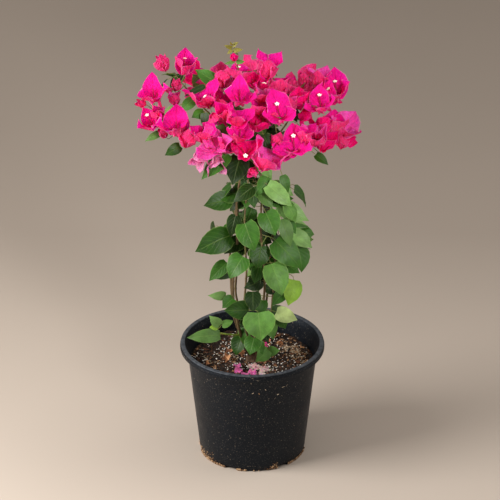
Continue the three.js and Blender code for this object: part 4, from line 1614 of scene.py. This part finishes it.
class BUSH_OT_stage(bpy.types.Operator):
    """Set the floor, the soft light and the camera"""

    bl_idname = "bush.stage"
    bl_label = "Stage"

    def execute(self, context):
        settings = context.scene.bush_stage
        scene = context.scene
        fresh_start()
        bpy.ops.mesh.primitive_plane_add(size=60, location=(0, 0, 0))
        floor = bpy.context.object
        floor.name = "floor"
        floor.data.materials.append(floor_finish(settings))
        self.lamp("key", "AREA", (-1.58, -0.52, 1.28), (-0.02, -0.05, 0.42), settings.key, size=1.1)
        self.lamp("right_fill", "AREA", (1.55, 0.25, 1.25), (0.3, 0.1, 0.3), settings.fill, size=1.5)
        head = (0.03, -0.03, 0.70)
        self.lamp("head_light", "SPOT", (0.85, -1.6, 1.55), head, settings.head, radius=0.25, cone=21)
        world = bpy.data.worlds.new("soft_room")
        scene.world = world
        world.use_nodes = True
        backdrop = world.node_tree.nodes["Background"]
        backdrop.inputs["Color"].default_value = (1.0, 0.93, 0.86, 1)
        backdrop.inputs["Strength"].default_value = settings.room
        target = Vector((-4.3 * MM, 0, 419 * MM))
        up = settings.elevation
        place = target + Vector((0, -math.cos(up), math.sin(up))) * settings.distance
        bpy.ops.object.camera_add(location=place)
        camera = bpy.context.object
        camera.rotation_euler = (math.pi / 2 - up, 0, 0)
        camera.data.lens = camera.data.sensor_width * settings.distance / settings.width
        scene.camera = camera
        scene.view_settings.view_transform = "Standard"
        return {"FINISHED"}

    @staticmethod
    def lamp(name, kind, place, target, power, size=1.0, radius=0.1, cone=60):
        """A lamp of that power in watts, aimed at a target."""
        bpy.ops.object.light_add(type=kind, location=place)
        lamp = bpy.context.object
        lamp.name = name
        lamp.data.energy = power
        lamp.data.color = (1.0, 0.965, 0.92)
        lamp.rotation_euler = (Vector(target) - Vector(place)).to_track_quat("-Z", "Y").to_euler()
        if kind == "AREA":
            lamp.data.size = size
        else:
            lamp.data.shadow_soft_size = radius
            lamp.data.spot_size = math.radians(cone)
            lamp.data.spot_blend = 1.0


class BUSH_PT_panel(bpy.types.Panel):
    """Lists the sizes, colours and builders of the bush"""

    bl_idname = "BUSH_PT_panel"
    bl_label = "Bougainvillea bush"
    bl_space_type = "VIEW_3D"
    bl_region_type = "UI"
    bl_category = "Bush"

    def draw(self, context):
        for operator, holder in BUILDERS:
            group = getattr(context.scene, holder)
            box = self.layout.box()
            box.operator("bush." + operator)
            for name in group.bl_rna.properties.keys():
                if name not in ("rna_type", "name"):
                    box.prop(group, name)


BUILDERS = (
    ("stage", "bush_stage"),
    ("pot", "bush_pot"),
    ("soil", "bush_soil"),
    ("wood", "bush_wood"),
    ("blossom", "bush_blossom"),
    ("litter", "bush_blossom"),
    ("foliage", "bush_leaves"),
)
SETTINGS = {
    "bush_stage": StageSettings,
    "bush_pot": PotSettings,
    "bush_soil": SoilSettings,
    "bush_wood": WoodSettings,
    "bush_blossom": BlossomSettings,
    "bush_leaves": LeafSettings,
}
CLASSES = (
    *SETTINGS.values(),
    BUSH_OT_stage,
    BUSH_OT_pot,
    BUSH_OT_soil,
    BUSH_OT_wood,
    BUSH_OT_blossom,
    BUSH_OT_litter,
    BUSH_OT_foliage,
    BUSH_PT_panel,
)


def register():
    for cls in CLASSES:
        bpy.utils.register_class(cls)
    for name, group in SETTINGS.items():
        setattr(bpy.types.Scene, name, PointerProperty(type=group))


def unregister():
    for name in SETTINGS:
        delattr(bpy.types.Scene, name)
    for cls in reversed(CLASSES):
        bpy.utils.unregister_class(cls)


def main():
    register()
    for operator, _ in BUILDERS:
        getattr(bpy.ops.bush, operator)()


if __name__ == "__main__":
    main()
